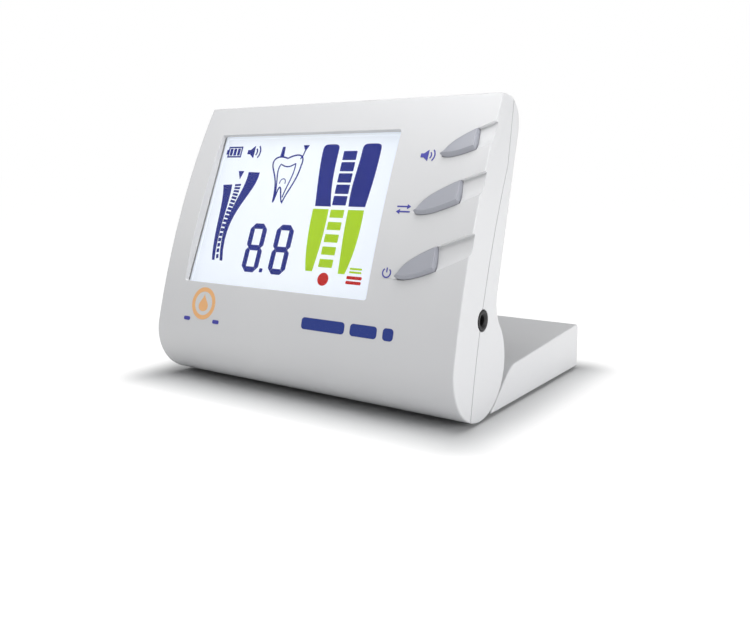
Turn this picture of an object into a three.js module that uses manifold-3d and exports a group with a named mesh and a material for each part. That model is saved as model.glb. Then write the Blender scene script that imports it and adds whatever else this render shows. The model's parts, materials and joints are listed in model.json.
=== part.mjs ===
// Apex locator: a dental bench instrument, a screen housing that folds down on a battery base.
// Millimetres, +Z up, +X to the user's right; the screen faces -Y. The origin is under the
// middle of the object, on the surface that its feet stand on.
//
// Every part is built in the hinge frame: x across, y backwards and z up from the middle of the
// hinge axis. Screen parts that follow the front face are built in a face frame instead: x
// across, y up along the face and z straight out of it.

import * as THREE from 'three';
import { mergeVertices } from 'three/addons/utils/BufferGeometryUtils.js';
import Module from 'manifold-3d';

const wasm = await Module();
wasm.setup();

const deg = THREE.MathUtils.degToRad;

// ---- Driving dimensions ----------------------------------------------------------------

const WIDTH = 130;               // housing and base, side to side
const WALL = 2.2;                // moulded walls
const GAP = 0.3;                 // between parts that touch
const HALF = WIDTH / 2;
const INNER_HALF = HALF - WALL;

// Screen housing: a barrel at the bottom, a slightly bulging front and a flat leaning back.
const BARREL_R = 17.7;
const FRONT_R = 300;
const TOP_FRONT = new THREE.Vector2(14, 86.4);
const BACK_LEAN = deg(15.4);
const BACK_OFFSET = 5.4;         // hinge axis to the plane of the back
const NECK_R = 12;               // hollow round between barrel and back
const TOP_R = 9;                 // round between back and top
const TOP_STEP = 0.3;            // top front corner above the top round
const SEAM_DEPTH = 14.3;         // front face to the joint line between the covers
const SEAM_BEND = 63;            // height where the joint line turns steeper
const SEAM_TOP_SLOPE = 0.19;

// Base: a flat wedge behind the barrel, hollowed at the front to clear it.
const AXIS_HEIGHT = 18.6;        // hinge axis above the table
const FOOT_STANDOFF = 1.4;
const BASE_REAR = 86.5;          // behind the hinge axis
const BASE_SLOPE = deg(3.66);
const BASE_TOP_OFFSET = 5.74;    // hinge axis to the plane of the base's top
const CRADLE_R = BARREL_R + 0.5;
const CRADLE_END = deg(-43);
const RAMP_SLOPE = deg(38.8);
const NOSE = 8;                  // front of the base, behind the hinge axis
const BASE_BOTTOM = FOOT_STANDOFF - AXIS_HEIGHT;
const TABLE = -AXIS_HEIGHT;
const REAR_ROUND = 1.5;
const SHOULDER_ROUND = 9;
const PLATE_T = 2.4;             // bottom cover
const PLATE_FRONT = 14.4;        // front edge of the bottom cover, behind the hinge axis
const PLATE_TOP = BASE_BOTTOM + PLATE_T;
const PLATE_REAR = BASE_REAR - WALL - GAP;

// Screen window and the display stack behind it, as depths behind the face.
const WINDOW_X = -11.9;
const WINDOW_LEAN = deg(21.1);
const WINDOW_W = 83.4;
const WINDOW_H = 58.9;
const WINDOW_DEPTH = 3;
const WINDOW_T = 1.5;
const WINDOW_LIP = 1.3;          // glued edge of the window behind its opening
const OPENING_FLARE = 0.25;      // widening of the opening for each millimetre outwards
const LCD_W = 84;
const LCD_H = 60;
const LCD_T = 2.2;
const BACKLIGHT_T = 2.8;
const BACKLIGHT_H = 54;
const HOLDER_WALL = 2;
const BOARD_DEPTH = 12.2;
const BOARD_T = 1.6;
const BOARD_W = 2 * INNER_HALF - 6;
const BOARD_H = 58;
const BOARD_Y = -0.8;
const SOCKET_CUT_W = 20;         // corner cut out of the board for the probe socket
const SOCKET_CUT_H = 8;
const CONNECTOR_H = 2.4;
const CHIP = { width: 14, x: 5, y: -2, thickness: 1.6 };
const BUZZER = { radius: 6, height: 4.5, hole: 1, x: -25, y: -20 };

// Keys: fins that rise from a tip on the left to a hollow that runs out at the right edge.
const KEYS = [
  { name: 'volume', tip: 48.4, lean: deg(25.9), length: 12.5 },
  { name: 'mode', tip: 43.0, lean: deg(22.1), length: 16 },
  { name: 'power', tip: 40.3, lean: deg(18.0), length: 14.6 },
];
const KEY_TIP_Y = -5.5;          // tip below the point where the key's lean is taken
const KEY_PROUD = 1.8;
const KEY_TRAVEL = 0.8;
const KEY_FLANGE = 1.2;          // flange past the fin, and its thickness is FLANGE_T
const FLANGE_T = 1;
const FLANGE_TOP = -WALL - GAP - 0.1;
const STEM_R = 1.8;
const STEM_L = 3.2;              // below the flange's top
const STEM_SHARE = 0.62;         // of the key's length, from its tip
const STEM_Y = 5;                // above the tip
const SWITCH_W = 6;
const SWITCH_T = 3.6;
const SWITCH_CAP = 0.8;
const SWITCH_CAP_R = 1.7;
const HOLLOW_DEPTH = 1.5;
const HOLLOW_SLOPE = 0.75;       // part of the hollow's height that its floor slopes over
const FIN_END = 26;
const FIN_TOP = [[0, 0], [0.3, 5], [8.5, 9.5], [24.7, 15.9]];
const FIN_BOTTOM = [[0, 0], [4, -1.5], [12, 2], [24.7, 8.5]];

// Hinge: moulded arms of the base reach into slots in the barrel, bolted through with a spring.
const ARM_X = 36;                // middle of an arm
const ARM_W = 12;
const ARM_T = 7;
const ARM_ANGLE = deg(-36);
const ARM_REACH = 20;
const EYE_R = 6.5;
const FOLD = 70;                 // degrees
const SLOT_CLEAR = 0.5;
const SLOT_MARGIN = 15;          // degrees beyond the arm's middle line at either end
const BOLT_R = 2.3;
const BOLT_HEAD_R = 4.4;
const BUSH_R = 4;
const SPRING_R = 5.5;
const SPRING_END = 1.9;          // spring, nut and bolt end, out from the inner rib
const NUT_R = 4.6;
const NUT_END = 5.6;
const BOLT_END = 6.5;
const RIB_T = 2;
const RIB_R = 16.5;

// Probe socket in the right side, on the joint line.
const SOCKET = { y: 1.1, z: 14.5, nose: 3.3, body: 4.6, bore: 1.8, length: 15 };

// Screws of the covers, in the window's face frame, and of the base.
const COVER_SCREWS = [[-50, 35.5], [50, 35.5], [-16, -35.7], [16, -35.7]];
const COVER_SCREW_L = 8;
const UPPER_SEAT = -14.6;        // depth at which the head of an upper cover screw rests
const LOWER_SEAT = -17.5;
const BASE_SCREWS = [[-45, 26], [45, 26], [-45, 74], [45, 74]];
const SCREW_HEAD_R = 2.7;
const SCREW_SHANK_R = 1.2;
const HEAD_HOLE_R = 3.1;
const SHANK_HOLE_R = 1.6;
const THREAD_HOLE_R = 1.5;
const DOOR_SCREW_HEAD_R = 2.4;
const DOOR_SCREW_SHANK_R = 1.1;
const DOOR_SCREW_HOLE_R = 1.4;
const FRONT_BOSS_R = 2.8;
const REAR_BOSS_R = 3.9;
const BASE_BOSS_R = 3;
const DOOR_BOSS_R = 2.6;
const BEYOND = 40;               // deeper behind the face than anything in the housing
const FEET = [[-54, 21], [54, 21], [-54, 77], [54, 77]];
const FOOT_R = 5.5;
const FOOT_SINK = 0.5;

// Rubber pads on the back, which meet the base when the housing is folded down.
const BUMPER_R = 4;
const BUMPER_X = 36;
const BUMPER_UP = 74;            // along the back from the foot of the square from the hinge axis
const BUMPER_PROUD = 1.1;
const BUMPER_SINK = 0.5;
const SEAT_CLEAR = 0.3;          // bottom of a seat below the pad in it

// Battery: three AAA cells side by side under a screwed door.
const CELL_R = 5.25;
const CELL_L = 44.5;
const CELLS_Y = [52, 63, 74];
const CELL_Z = -10.25;
const CELL_NUB_R = 1.9;
const CELL_NUB_L = 1.2;
const SPRING_ROOM = 4.6;
const SPRING_WIRE = 0.35;
const CONTACT_T = 0.5;
const BAY_FRONT = CELLS_Y[0] - CELL_R - 2 * GAP;
const BAY_REAR = CELLS_Y[2] + CELL_R + 2 * GAP;
const BAY_HALF = (CELL_L + SPRING_ROOM) / 2 + CONTACT_T + 2 * GAP;
const BAY_WALL = 1.4;
const DOOR_T = 1.4;
const DOOR_TAB = 7;              // screwed tab in front of the bay
const DOOR_SIDE = 2;             // door past the bay at the sides
const DOOR_BACK = 1.2;           // door past the bay at the rear
const DOOR_SCREW_Y = BAY_FRONT - DOOR_TAB / 2 - 0.2;

// ---- Small geometry helpers --------------------------------------------------------------

const vec2 = (pair) => new THREE.Vector2(pair[0], pair[1]);
const polar = (angle, radius) => new THREE.Vector2(Math.cos(angle), Math.sin(angle)).multiplyScalar(radius);

function arc(centre, radius, from, to, steps) {
  const points = [];
  for (let i = 0; i <= steps; i += 1) {
    points.push(polar(from + ((to - from) * i) / steps, radius).add(centre));
  }
  return points;
}

function circlesMeet(a, radiusA, b, radiusB) {
  // The meeting point on the left of the line from a to b.
  const line = b.clone().sub(a);
  const length = line.length();
  const along = (length ** 2 + radiusA ** 2 - radiusB ** 2) / (2 * length);
  const across = Math.sqrt(radiusA ** 2 - along ** 2);
  line.normalize();
  const square = new THREE.Vector2(-line.y, line.x);
  return a.clone().addScaledVector(line, along).addScaledVector(square, across);
}

function linesMeet(a, directionA, b, directionB) {
  const step = b.clone().sub(a).cross(directionB) / directionA.cross(directionB);
  return a.clone().addScaledVector(directionA, step);
}

function lineToCircle(start, direction, centre, radius) {
  // The first point of the circle that the line reaches.
  const toCentre = centre.clone().sub(start);
  const along = toCentre.dot(direction);
  const half = Math.sqrt(radius ** 2 - toCentre.lengthSq() + along ** 2);
  const step = along - half > 0 ? along - half : along + half;
  return start.clone().addScaledVector(direction, step);
}

function roundCorner(before, corner, after, radius, steps) {
  const toBefore = before.clone().sub(corner).normalize();
  const toAfter = after.clone().sub(corner).normalize();
  const half = Math.acos(toBefore.dot(toAfter)) / 2;
  const middle = toBefore.clone().add(toAfter).normalize();
  const centre = corner.clone().addScaledVector(middle, radius / Math.sin(half));
  const first = corner.clone().addScaledVector(toBefore, radius / Math.tan(half)).sub(centre).angle();
  let last = corner.clone().addScaledVector(toAfter, radius / Math.tan(half)).sub(centre).angle();
  if (last - first > Math.PI) last -= 2 * Math.PI;
  if (first - last > Math.PI) last += 2 * Math.PI;
  return arc(centre, radius, first, last, steps);
}

function rectangle(width, height, x = 0, y = 0) {
  const corners = [[-1, -1], [1, -1], [1, 1], [-1, 1]];
  return corners.map(([sx, sy]) => new THREE.Vector2(x + (sx * width) / 2, y + (sy * height) / 2));
}

function grown(outline, distance) {
  // Moves every corner of a counterclockwise outline outwards, square to the edges beside it.
  return outline.map((point, i) => {
    const before = outline[(i + outline.length - 1) % outline.length];
    const after = outline[(i + 1) % outline.length];
    const edgeIn = point.clone().sub(before).normalize();
    const edgeOut = after.clone().sub(point).normalize();
    const normal = edgeIn.clone().add(edgeOut).normalize();
    const step = distance / Math.max(0.5, normal.dot(edgeIn));
    return new THREE.Vector2(point.x + normal.y * step, point.y - normal.x * step);
  });
}

// ---- Solids ------------------------------------------------------------------------------

const ALONG_X = new THREE.Matrix4().makeBasis(
  new THREE.Vector3(0, 1, 0),
  new THREE.Vector3(0, 0, 1),
  new THREE.Vector3(1, 0, 0),
);

function solidOf(geometry) {
  const bare = new THREE.BufferGeometry();
  bare.setAttribute('position', geometry.getAttribute('position'));
  if (geometry.index) bare.setIndex(geometry.index);
  const merged = mergeVertices(bare, 1e-4);
  return new wasm.Manifold(new wasm.Mesh({
    numProp: 3,
    vertProperties: new Float32Array(merged.getAttribute('position').array),
    triVerts: new Uint32Array(merged.index.array),
  }));
}

function geometryOf(solid) {
  const mesh = solid.getMesh();
  const geometry = new THREE.BufferGeometry();
  geometry.setAttribute('position', new THREE.BufferAttribute(mesh.vertProperties, 3));
  geometry.setIndex(new THREE.BufferAttribute(mesh.triVerts, 1));
  const flat = geometry.toNonIndexed();
  flat.computeVertexNormals();
  return flat;
}

function slab(outline, from, to, matrix) {
  // An outline in x and y, thickened along z.
  const geometry = new THREE.ExtrudeGeometry(new THREE.Shape(outline), {
    depth: to - from,
    steps: 1,
    bevelEnabled: false,
  });
  geometry.translate(0, 0, from);
  if (matrix) geometry.applyMatrix4(matrix);
  return solidOf(geometry);
}

const prism = (outline, from, to) => slab(outline, from, to, ALONG_X);

function rod(radius, from, to, x, y, matrix, sides = 20) {
  // A round bar along z.
  const geometry = new THREE.CylinderGeometry(radius, radius, to - from, sides);
  geometry.rotateX(Math.PI / 2);
  geometry.translate(x, y, (from + to) / 2);
  if (matrix) geometry.applyMatrix4(matrix);
  return solidOf(geometry);
}

const rodAcross = (radius, from, to, y = 0, z = 0, sides = 20) => rod(radius, from, to, y, z, ALONG_X, sides);

function loft(lower, upper, from, to, matrix) {
  // Two outlines with the same number of corners, joined by flat sides.
  const count = lower.length;
  const positions = [];
  for (const point of lower) positions.push(point.x, point.y, from);
  for (const point of upper) positions.push(point.x, point.y, to);
  const faces = [];
  for (const [a, b, c] of THREE.ShapeUtils.triangulateShape(lower, [])) {
    faces.push(c, b, a);
    faces.push(a + count, b + count, c + count);
  }
  for (let i = 0; i < count; i += 1) {
    const next = (i + 1) % count;
    faces.push(i, next, next + count);
    faces.push(i, next + count, i + count);
  }
  const geometry = new THREE.BufferGeometry();
  geometry.setAttribute('position', new THREE.Float32BufferAttribute(positions, 3));
  geometry.setIndex(faces);
  if (matrix) geometry.applyMatrix4(matrix);
  return solidOf(geometry);
}

// ---- Materials ---------------------------------------------------------------------------

const plastic = (color, roughness = 0.45) => new THREE.MeshStandardMaterial({ color, roughness });
const metal = (color) => new THREE.MeshStandardMaterial({ color, roughness: 0.35, metalness: 1 });

const WHITE = plastic(0xe6e8ec);
const KEY_GREY = plastic(0x9fa2ab);
const CLEAR = plastic(0xe9f2fb, 0.1);
const LCD_GLASS = plastic(0xe2ecf6, 0.15);
const MILK_WHITE = plastic(0xf4f4f0, 0.5);
const BLACK = plastic(0x18181a);
const BOARD_GREEN = plastic(0x1f6b3c);
const RUBBER = plastic(0x2c2d30, 0.85);
const CELL_WRAP = plastic(0x3f6fb0, 0.35);
const STEEL = metal(0xb8bbc0);
const BRASS = metal(0xc9a552);

// ---- The housing's side view -------------------------------------------------------------

const ORIGIN = new THREE.Vector2(0, 0);
const frontCentre = circlesMeet(TOP_FRONT, FRONT_R, ORIGIN, FRONT_R - BARREL_R);
const backNormal = polar(-BACK_LEAN, 1);
const backUp = polar(Math.PI / 2 - BACK_LEAN, 1);
const neckCentre = backNormal.clone().multiplyScalar(BACK_OFFSET + NECK_R)
  .addScaledVector(backUp, Math.sqrt((BARREL_R + NECK_R) ** 2 - (BACK_OFFSET + NECK_R) ** 2));
const topCentreZ = TOP_FRONT.y - TOP_R - TOP_STEP;
const topCentre = new THREE.Vector2(
  (BACK_OFFSET - TOP_R - backNormal.y * topCentreZ) / backNormal.x,
  topCentreZ,
);
const toCorner = TOP_FRONT.clone().sub(topCentre);
const topAngle = toCorner.angle() - Math.acos(TOP_R / toCorner.length());
const frontAngle = frontCentre.clone().negate().angle();

function housingOutline(inset) {
  const topLineStart = polar(topAngle, TOP_R - inset).add(topCentre);
  const topLine = polar(topAngle + Math.PI / 2, 1);
  const corner = lineToCircle(topLineStart, topLine, frontCentre, FRONT_R - inset);
  const cornerAngle = corner.clone().sub(frontCentre).angle();
  return [
    ...arc(ORIGIN, BARREL_R - inset, frontAngle, 2 * Math.PI + neckCentre.angle(), 22),
    ...arc(neckCentre, NECK_R + inset, neckCentre.angle() + Math.PI, Math.PI - BACK_LEAN, 6).slice(1),
    ...arc(topCentre, TOP_R - inset, -BACK_LEAN, topAngle, 9),
    ...arc(frontCentre, FRONT_R - inset, cornerAngle, frontAngle, 10).slice(0, -1),
  ];
}

function seamLine(offset) {
  // The joint line between the covers, from below the barrel to above the top.
  const radius = FRONT_R - SEAM_DEPTH - offset;
  const angleAt = (height) => Math.PI - Math.asin((height - frontCentre.y) / radius);
  const points = arc(frontCentre, radius, angleAt(-2 * BARREL_R), angleAt(SEAM_BEND), 8);
  const bend = points[points.length - 1];
  points.push(new THREE.Vector2(bend.x + SEAM_TOP_SLOPE * BARREL_R * 2, bend.y + BARREL_R * 2));
  return points;
}

const housing = prism(housingOutline(0), -HALF, HALF);
const housingShell = housing.subtract(prism(housingOutline(WALL), -INNER_HALF, INNER_HALF));
const far = FRONT_R;
const seamFront = seamLine(-GAP / 2);
const seamRear = seamLine(GAP / 2);
const frontRegion = prism([
  ...seamFront,
  new THREE.Vector2(-far, seamFront[seamFront.length - 1].y),
  new THREE.Vector2(-far, seamFront[0].y),
], -far, far);
const rearRegion = prism([
  new THREE.Vector2(far, seamRear[0].y),
  new THREE.Vector2(far, seamRear[seamRear.length - 1].y),
  ...seamRear.slice().reverse(),
], -far, far);

// ---- Face frames -------------------------------------------------------------------------

function faceFrame(x, lean) {
  // The frame that touches the front face where the face leans back by this angle.
  const height = FRONT_R * Math.sin(lean) + frontCentre.y;
  const depth = frontCentre.x - FRONT_R * Math.cos(lean);
  return new THREE.Matrix4().makeRotationX(Math.PI / 2 - lean).setPosition(x, depth, height);
}

const windowFrame = faceFrame(WINDOW_X, WINDOW_LEAN);
const screwFrame = faceFrame(0, WINDOW_LEAN);

// ---- Keys --------------------------------------------------------------------------------

const curveOf = (points) => new THREE.CubicBezierCurve(...points.map(vec2));

function heightAt(curve, x) {
  // The height of a fin edge at a distance from the tip; the edge runs on straight past its end.
  let from = 0;
  let to = 1;
  for (let i = 0; i < 30; i += 1) {
    const middle = (from + to) / 2;
    if (curve.getPoint(middle).x < x) from = middle;
    else to = middle;
  }
  const point = curve.getPoint(from);
  const tangent = curve.getTangent(from);
  return point.y + (tangent.y / tangent.x) * (x - point.x);
}

const finTop = curveOf(FIN_TOP);
const finBottom = curveOf(FIN_BOTTOM);

function finOutline(length) {
  const steps = 9;
  const reach = (i) => length * (i / steps) ** 2;
  const lower = [];
  const upper = [];
  for (let i = 1; i <= steps; i += 1) {
    lower.push(new THREE.Vector2(reach(i), heightAt(finBottom, reach(i))));
    upper.unshift(new THREE.Vector2(reach(i), heightAt(finTop, reach(i))));
  }
  return [new THREE.Vector2(0, 0), ...lower, ...upper];
}

function moved(outline, x, y) {
  return outline.map((point) => new THREE.Vector2(point.x + x, point.y + y));
}

function keySolid(key) {
  const outline = moved(finOutline(key.length), 0, KEY_TIP_Y);
  const stemX = key.length * STEM_SHARE;
  const stem = rod(STEM_R, FLANGE_TOP - STEM_L, FLANGE_TOP - 0.5, stemX, KEY_TIP_Y + STEM_Y);
  return slab(outline, FLANGE_TOP - 0.2, KEY_PROUD)
    .add(slab(grown(outline, KEY_FLANGE), FLANGE_TOP - FLANGE_T, FLANGE_TOP))
    .add(stem);
}

const keyFrame = (key) => faceFrame(key.tip, key.lean);

function keyWell(key) {
  const outline = moved(finOutline(key.length), 0, KEY_TIP_Y);
  return slab(grown(outline, GAP), -2 * WALL, 3 * KEY_PROUD, keyFrame(key));
}

function keyHollow(key) {
  // The wedge-shaped hollow from the key to the side: deepest under its upper edge.
  const lower = [];
  const upper = [];
  const steps = 4;
  for (let i = 0; i <= steps; i += 1) {
    const x = key.length - 1 + ((FIN_END - key.length + 1) * i) / steps;
    lower.push(new THREE.Vector2(x, KEY_TIP_Y + heightAt(finBottom, x)));
    upper.push(new THREE.Vector2(x, KEY_TIP_Y + heightAt(finTop, x)));
  }
  const rise = 1;
  const floorEdge = (share) => lower.map((point, i) => point.clone().lerp(upper[i], share));
  const topEdge = upper.slice().reverse();
  const spread = -HOLLOW_SLOPE * (rise / HOLLOW_DEPTH);
  return loft(
    [...floorEdge(HOLLOW_SLOPE), ...topEdge],
    [...floorEdge(spread), ...topEdge],
    -HOLLOW_DEPTH,
    rise,
    keyFrame(key),
  );
}

// ---- Screen housing covers -----------------------------------------------------------------

function screwBosses(radius, region) {
  const [first, ...rest] = COVER_SCREWS.map(([x, y]) => rod(radius, -BEYOND, -WALL / 2, x, y, screwFrame));
  return rest.reduce((all, boss) => all.add(boss), first).intersect(housing).intersect(region);
}

function socketHole() {
  return rodAcross(SOCKET.nose + GAP, INNER_HALF - 1, HALF + 1, SOCKET.y, SOCKET.z);
}

function frontCover() {
  const frameDepth = WINDOW_DEPTH - GAP;
  const lipOutline = rectangle(WINDOW_W + 4 * WINDOW_LIP, WINDOW_H + 4 * WINDOW_LIP);
  const pocketOutline = rectangle(WINDOW_W + 2 * WINDOW_LIP + 2 * GAP, WINDOW_H + 2 * WINDOW_LIP + 2 * GAP);
  const outerReach = 3;
  const flare = 2 * OPENING_FLARE * (WINDOW_DEPTH + outerReach);
  let cover = housingShell.intersect(frontRegion)
    .add(slab(lipOutline, -frameDepth, outerReach, windowFrame).intersect(housing))
    .add(screwBosses(FRONT_BOSS_R, frontRegion))
    .subtract(slab(pocketOutline, -3 * WINDOW_DEPTH, -frameDepth, windowFrame))
    .subtract(loft(
      rectangle(WINDOW_W, WINDOW_H),
      rectangle(WINDOW_W + flare, WINDOW_H + flare),
      -WINDOW_DEPTH,
      outerReach,
      windowFrame,
    ))
    .subtract(socketHole());
  for (const key of KEYS) cover = cover.subtract(keyWell(key)).subtract(keyHollow(key));
  for (const [x, y] of COVER_SCREWS) {
    cover = cover.subtract(rod(THREAD_HOLE_R, -BEYOND, -4.5, x, y, screwFrame, 12));
  }
  return cover;
}

function screwSeat([, y]) {
  // Depth behind the window's face frame at which a cover screw's head rests.
  return y > 0 ? UPPER_SEAT : LOWER_SEAT;
}

function armSlot(side) {
  const from = ARM_ANGLE - deg(SLOT_MARGIN);
  const to = ARM_ANGLE + deg(FOLD + SLOT_MARGIN);
  const outline = [ORIGIN, ...arc(ORIGIN, 2 * BARREL_R, from, to, 8)];
  const halfWidth = ARM_W / 2 + SLOT_CLEAR;
  return prism(outline, side * ARM_X - halfWidth, side * ARM_X + halfWidth);
}

function rearCover() {
  let cover = housingShell.intersect(rearRegion).add(screwBosses(REAR_BOSS_R, rearRegion));
  for (const side of [-1, 1]) {
    for (const edge of [-1, 1]) {
      const near = side * ARM_X + edge * (ARM_W / 2 + SLOT_CLEAR + RIB_T / 2);
      const rib = rodAcross(RIB_R, near - RIB_T / 2, near + RIB_T / 2, 0, 0, 36);
      cover = cover.add(rib.intersect(rearRegion).intersect(housing));
    }
  }
  for (const side of [-1, 1]) {
    const middle = side * ARM_X;
    cover = cover.subtract(armSlot(side)).subtract(rodAcross(BOLT_R + GAP, middle - ARM_W, middle + ARM_W));
    cover = cover.subtract(bumperSeat(side));
  }
  for (const screw of COVER_SCREWS) {
    const [x, y] = screw;
    cover = cover.subtract(rod(SHANK_HOLE_R, -BEYOND, -4, x, y, screwFrame, 12));
    cover = cover.subtract(rod(HEAD_HOLE_R, -BEYOND, screwSeat(screw), x, y, screwFrame));
  }
  return cover.subtract(socketHole());
}

const backFrame = new THREE.Matrix4().makeBasis(
  new THREE.Vector3(-1, 0, 0),
  new THREE.Vector3(0, backUp.x, backUp.y),
  new THREE.Vector3(0, backNormal.x, backNormal.y),
);

function bumperSeat(side) {
  const bottom = BACK_OFFSET - BUMPER_SINK - SEAT_CLEAR;
  return rod(BUMPER_R + GAP, bottom, BACK_OFFSET + 1, side * BUMPER_X, BUMPER_UP, backFrame);
}

function bumper(side) {
  const bottom = BACK_OFFSET - BUMPER_SINK;
  return rod(BUMPER_R, bottom, BACK_OFFSET + BUMPER_PROUD, -side * BUMPER_X, BUMPER_UP, backFrame);
}

function coverScrew(screw) {
  const [x, y] = screw;
  const seat = screwSeat(screw);
  return rod(SCREW_HEAD_R, seat - 1.9, seat - GAP, x, y)
    .add(rod(SCREW_SHANK_R, seat - 1, seat + COVER_SCREW_L, x, y, null, 10));
}

// ---- Display and electronics, in the window's face frame --------------------------------------

const lcdBack = WINDOW_DEPTH + WINDOW_T + GAP + LCD_T;

function lcdHolder() {
  const inner = rectangle(LCD_W + 2 * GAP, LCD_H + 2 * GAP);
  const from = -BOARD_DEPTH + GAP;
  const to = -WINDOW_DEPTH - WINDOW_T - GAP;
  return slab(grown(inner, HOLDER_WALL), from, to).subtract(slab(inner, from - 1, to + 1));
}

function mainBoard() {
  // The lower right corner is cut away for the probe socket.
  const outline = rectangle(BOARD_W, BOARD_H, -WINDOW_X, BOARD_Y);
  const cornerX = -WINDOW_X + (BOARD_W - SOCKET_CUT_W) / 2;
  const cornerY = BOARD_Y - (BOARD_H - SOCKET_CUT_H) / 2;
  const corner = rectangle(SOCKET_CUT_W, SOCKET_CUT_H, cornerX, cornerY);
  return slab(outline, -BOARD_DEPTH - BOARD_T, -BOARD_DEPTH)
    .subtract(slab(grown(corner, GAP), -BOARD_DEPTH - 2 * BOARD_T, -BOARD_DEPTH + BOARD_T));
}

const behindBoard = -BOARD_DEPTH - BOARD_T - GAP;

function buzzer() {
  const { radius, height, hole, x, y } = BUZZER;
  return rod(radius, behindBoard - height, behindBoard, x, y)
    .subtract(rod(hole, behindBoard - height - 1.5, behindBoard - height + 1.5, x, y, null, 12));
}

function mainChip() {
  return slab(rectangle(CHIP.width, CHIP.width, CHIP.x, CHIP.y), behindBoard - CHIP.thickness, behindBoard);
}

function keySwitch(key) {
  const top = FLANGE_TOP - STEM_L - KEY_TRAVEL - GAP;
  const x = key.length * STEM_SHARE;
  const y = KEY_TIP_Y + STEM_Y;
  return slab(rectangle(SWITCH_W, SWITCH_W, x, y), top - SWITCH_T, top - SWITCH_CAP)
    .add(rod(SWITCH_CAP_R, top - SWITCH_CAP - 0.2, top, x, y));
}

function probeSocket() {
  const nose = rodAcross(SOCKET.nose, INNER_HALF - 1, HALF + 0.2, SOCKET.y, SOCKET.z, 28);
  const body = rodAcross(SOCKET.body, HALF - SOCKET.length, INNER_HALF - GAP, SOCKET.y, SOCKET.z, 28);
  const bore = rodAcross(SOCKET.bore, HALF - SOCKET.length + 1, HALF + 1, SOCKET.y, SOCKET.z, 20);
  return nose.add(body).subtract(bore);
}

// ---- Hinge hardware --------------------------------------------------------------------------

const ribOuter = ARM_W / 2 + SLOT_CLEAR + RIB_T;
const span = (side, from, to) => (side > 0 ? [ARM_X + from, ARM_X + to] : [-ARM_X - to, -ARM_X - from]);

function hingeBolt(side) {
  // The head is on the outer side, the thread on the side towards the middle.
  return rodAcross(BOLT_R, ...span(side, -ribOuter - BOLT_END, ribOuter + 1))
    .add(rodAcross(BOLT_HEAD_R, ...span(side, ribOuter + GAP, ribOuter + 2.8), 0, 0, 6));
}

function hingeSpring(side) {
  return rodAcross(SPRING_R, ...span(side, -ribOuter - SPRING_END, -ribOuter - GAP))
    .subtract(rodAcross(BOLT_R + GAP, ...span(side, -ribOuter - 3, -ribOuter + 1)));
}

function hingeNut(side) {
  return rodAcross(NUT_R, ...span(side, -ribOuter - NUT_END, -ribOuter - SPRING_END - GAP), 0, 0, 6)
    .subtract(rodAcross(BOLT_R + GAP, ...span(side, -ribOuter - 7, -ribOuter)));
}

function hingeBush(side) {
  return rodAcross(BUSH_R, ...span(side, -ARM_W / 2, ARM_W / 2))
    .subtract(rodAcross(BOLT_R + GAP, ...span(side, -ARM_W, ARM_W)));
}

// ---- Base ------------------------------------------------------------------------------------

const rampLine = polar(RAMP_SLOPE, 1);
const topSlope = polar(BASE_SLOPE, 1);
const topHeight = (y, inset) => (-BASE_TOP_OFFSET - inset + topSlope.y * y) / topSlope.x;

function baseOutline(inset) {
  // Counterclockwise from the nose: bottom, rear, top, shoulder, ramp and cradle.
  const rampFoot = polar(CRADLE_END, CRADLE_R).addScaledVector(polar(RAMP_SLOPE - Math.PI / 2, 1), inset);
  const shoulder = linesMeet(rampFoot, rampLine, new THREE.Vector2(0, topHeight(0, inset)), topSlope);
  const rearTop = new THREE.Vector2(BASE_REAR - inset, topHeight(BASE_REAR - inset, inset));
  const bottom = inset > 0 ? BASE_BOTTOM - 10 : BASE_BOTTOM;
  const cradleR = CRADLE_R + inset;
  const cradleFoot = inset > 0 ? Math.asin(BASE_BOTTOM / cradleR) : -Math.acos(NOSE / cradleR);
  const cradle = arc(ORIGIN, cradleR, rampFoot.angle() - 2 * Math.PI, cradleFoot, 5);
  const nose = cradle[cradle.length - 1].x;
  return [
    new THREE.Vector2(nose, bottom),
    new THREE.Vector2(BASE_REAR - inset, bottom),
    ...roundCorner(new THREE.Vector2(BASE_REAR - inset, bottom), rearTop, shoulder, REAR_ROUND, 3),
    ...roundCorner(rearTop, shoulder, rampFoot, SHOULDER_ROUND, 4),
    ...cradle,
  ];
}

function baseArm(side) {
  const along = polar(ARM_ANGLE, 1);
  const across = polar(ARM_ANGLE + Math.PI / 2, ARM_T / 2);
  const tip = along.clone().multiplyScalar(ARM_REACH);
  const bar = [across.clone().negate(), tip.clone().sub(across), tip.clone().add(across), across];
  const [from, to] = span(side, -ARM_W / 2, ARM_W / 2);
  return prism(bar, from, to).add(rodAcross(EYE_R, from, to, 0, 0, 28));
}

function baseTopCover() {
  const outer = prism(baseOutline(0), -HALF, HALF);
  let cover = outer.subtract(prism(baseOutline(WALL), -INNER_HALF, INNER_HALF));
  for (const [x, y] of BASE_SCREWS) {
    cover = cover.add(rod(BASE_BOSS_R, PLATE_TOP + GAP, 0, x, y).intersect(outer));
    cover = cover.subtract(rod(THREAD_HOLE_R, BASE_BOTTOM, topHeight(y, 2 * WALL), x, y, null, 12));
  }
  for (const side of [-1, 1]) {
    cover = cover.add(baseArm(side)).subtract(rodAcross(BUSH_R + GAP, ...span(side, -ARM_W, ARM_W)));
  }
  return cover;
}

const bayOutline = (margin) => [
  new THREE.Vector2(-BAY_HALF - margin, BAY_FRONT - margin),
  new THREE.Vector2(BAY_HALF + margin, BAY_FRONT - margin),
  new THREE.Vector2(BAY_HALF + margin, BAY_REAR + margin),
  new THREE.Vector2(-BAY_HALF - margin, BAY_REAR + margin),
];

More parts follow.
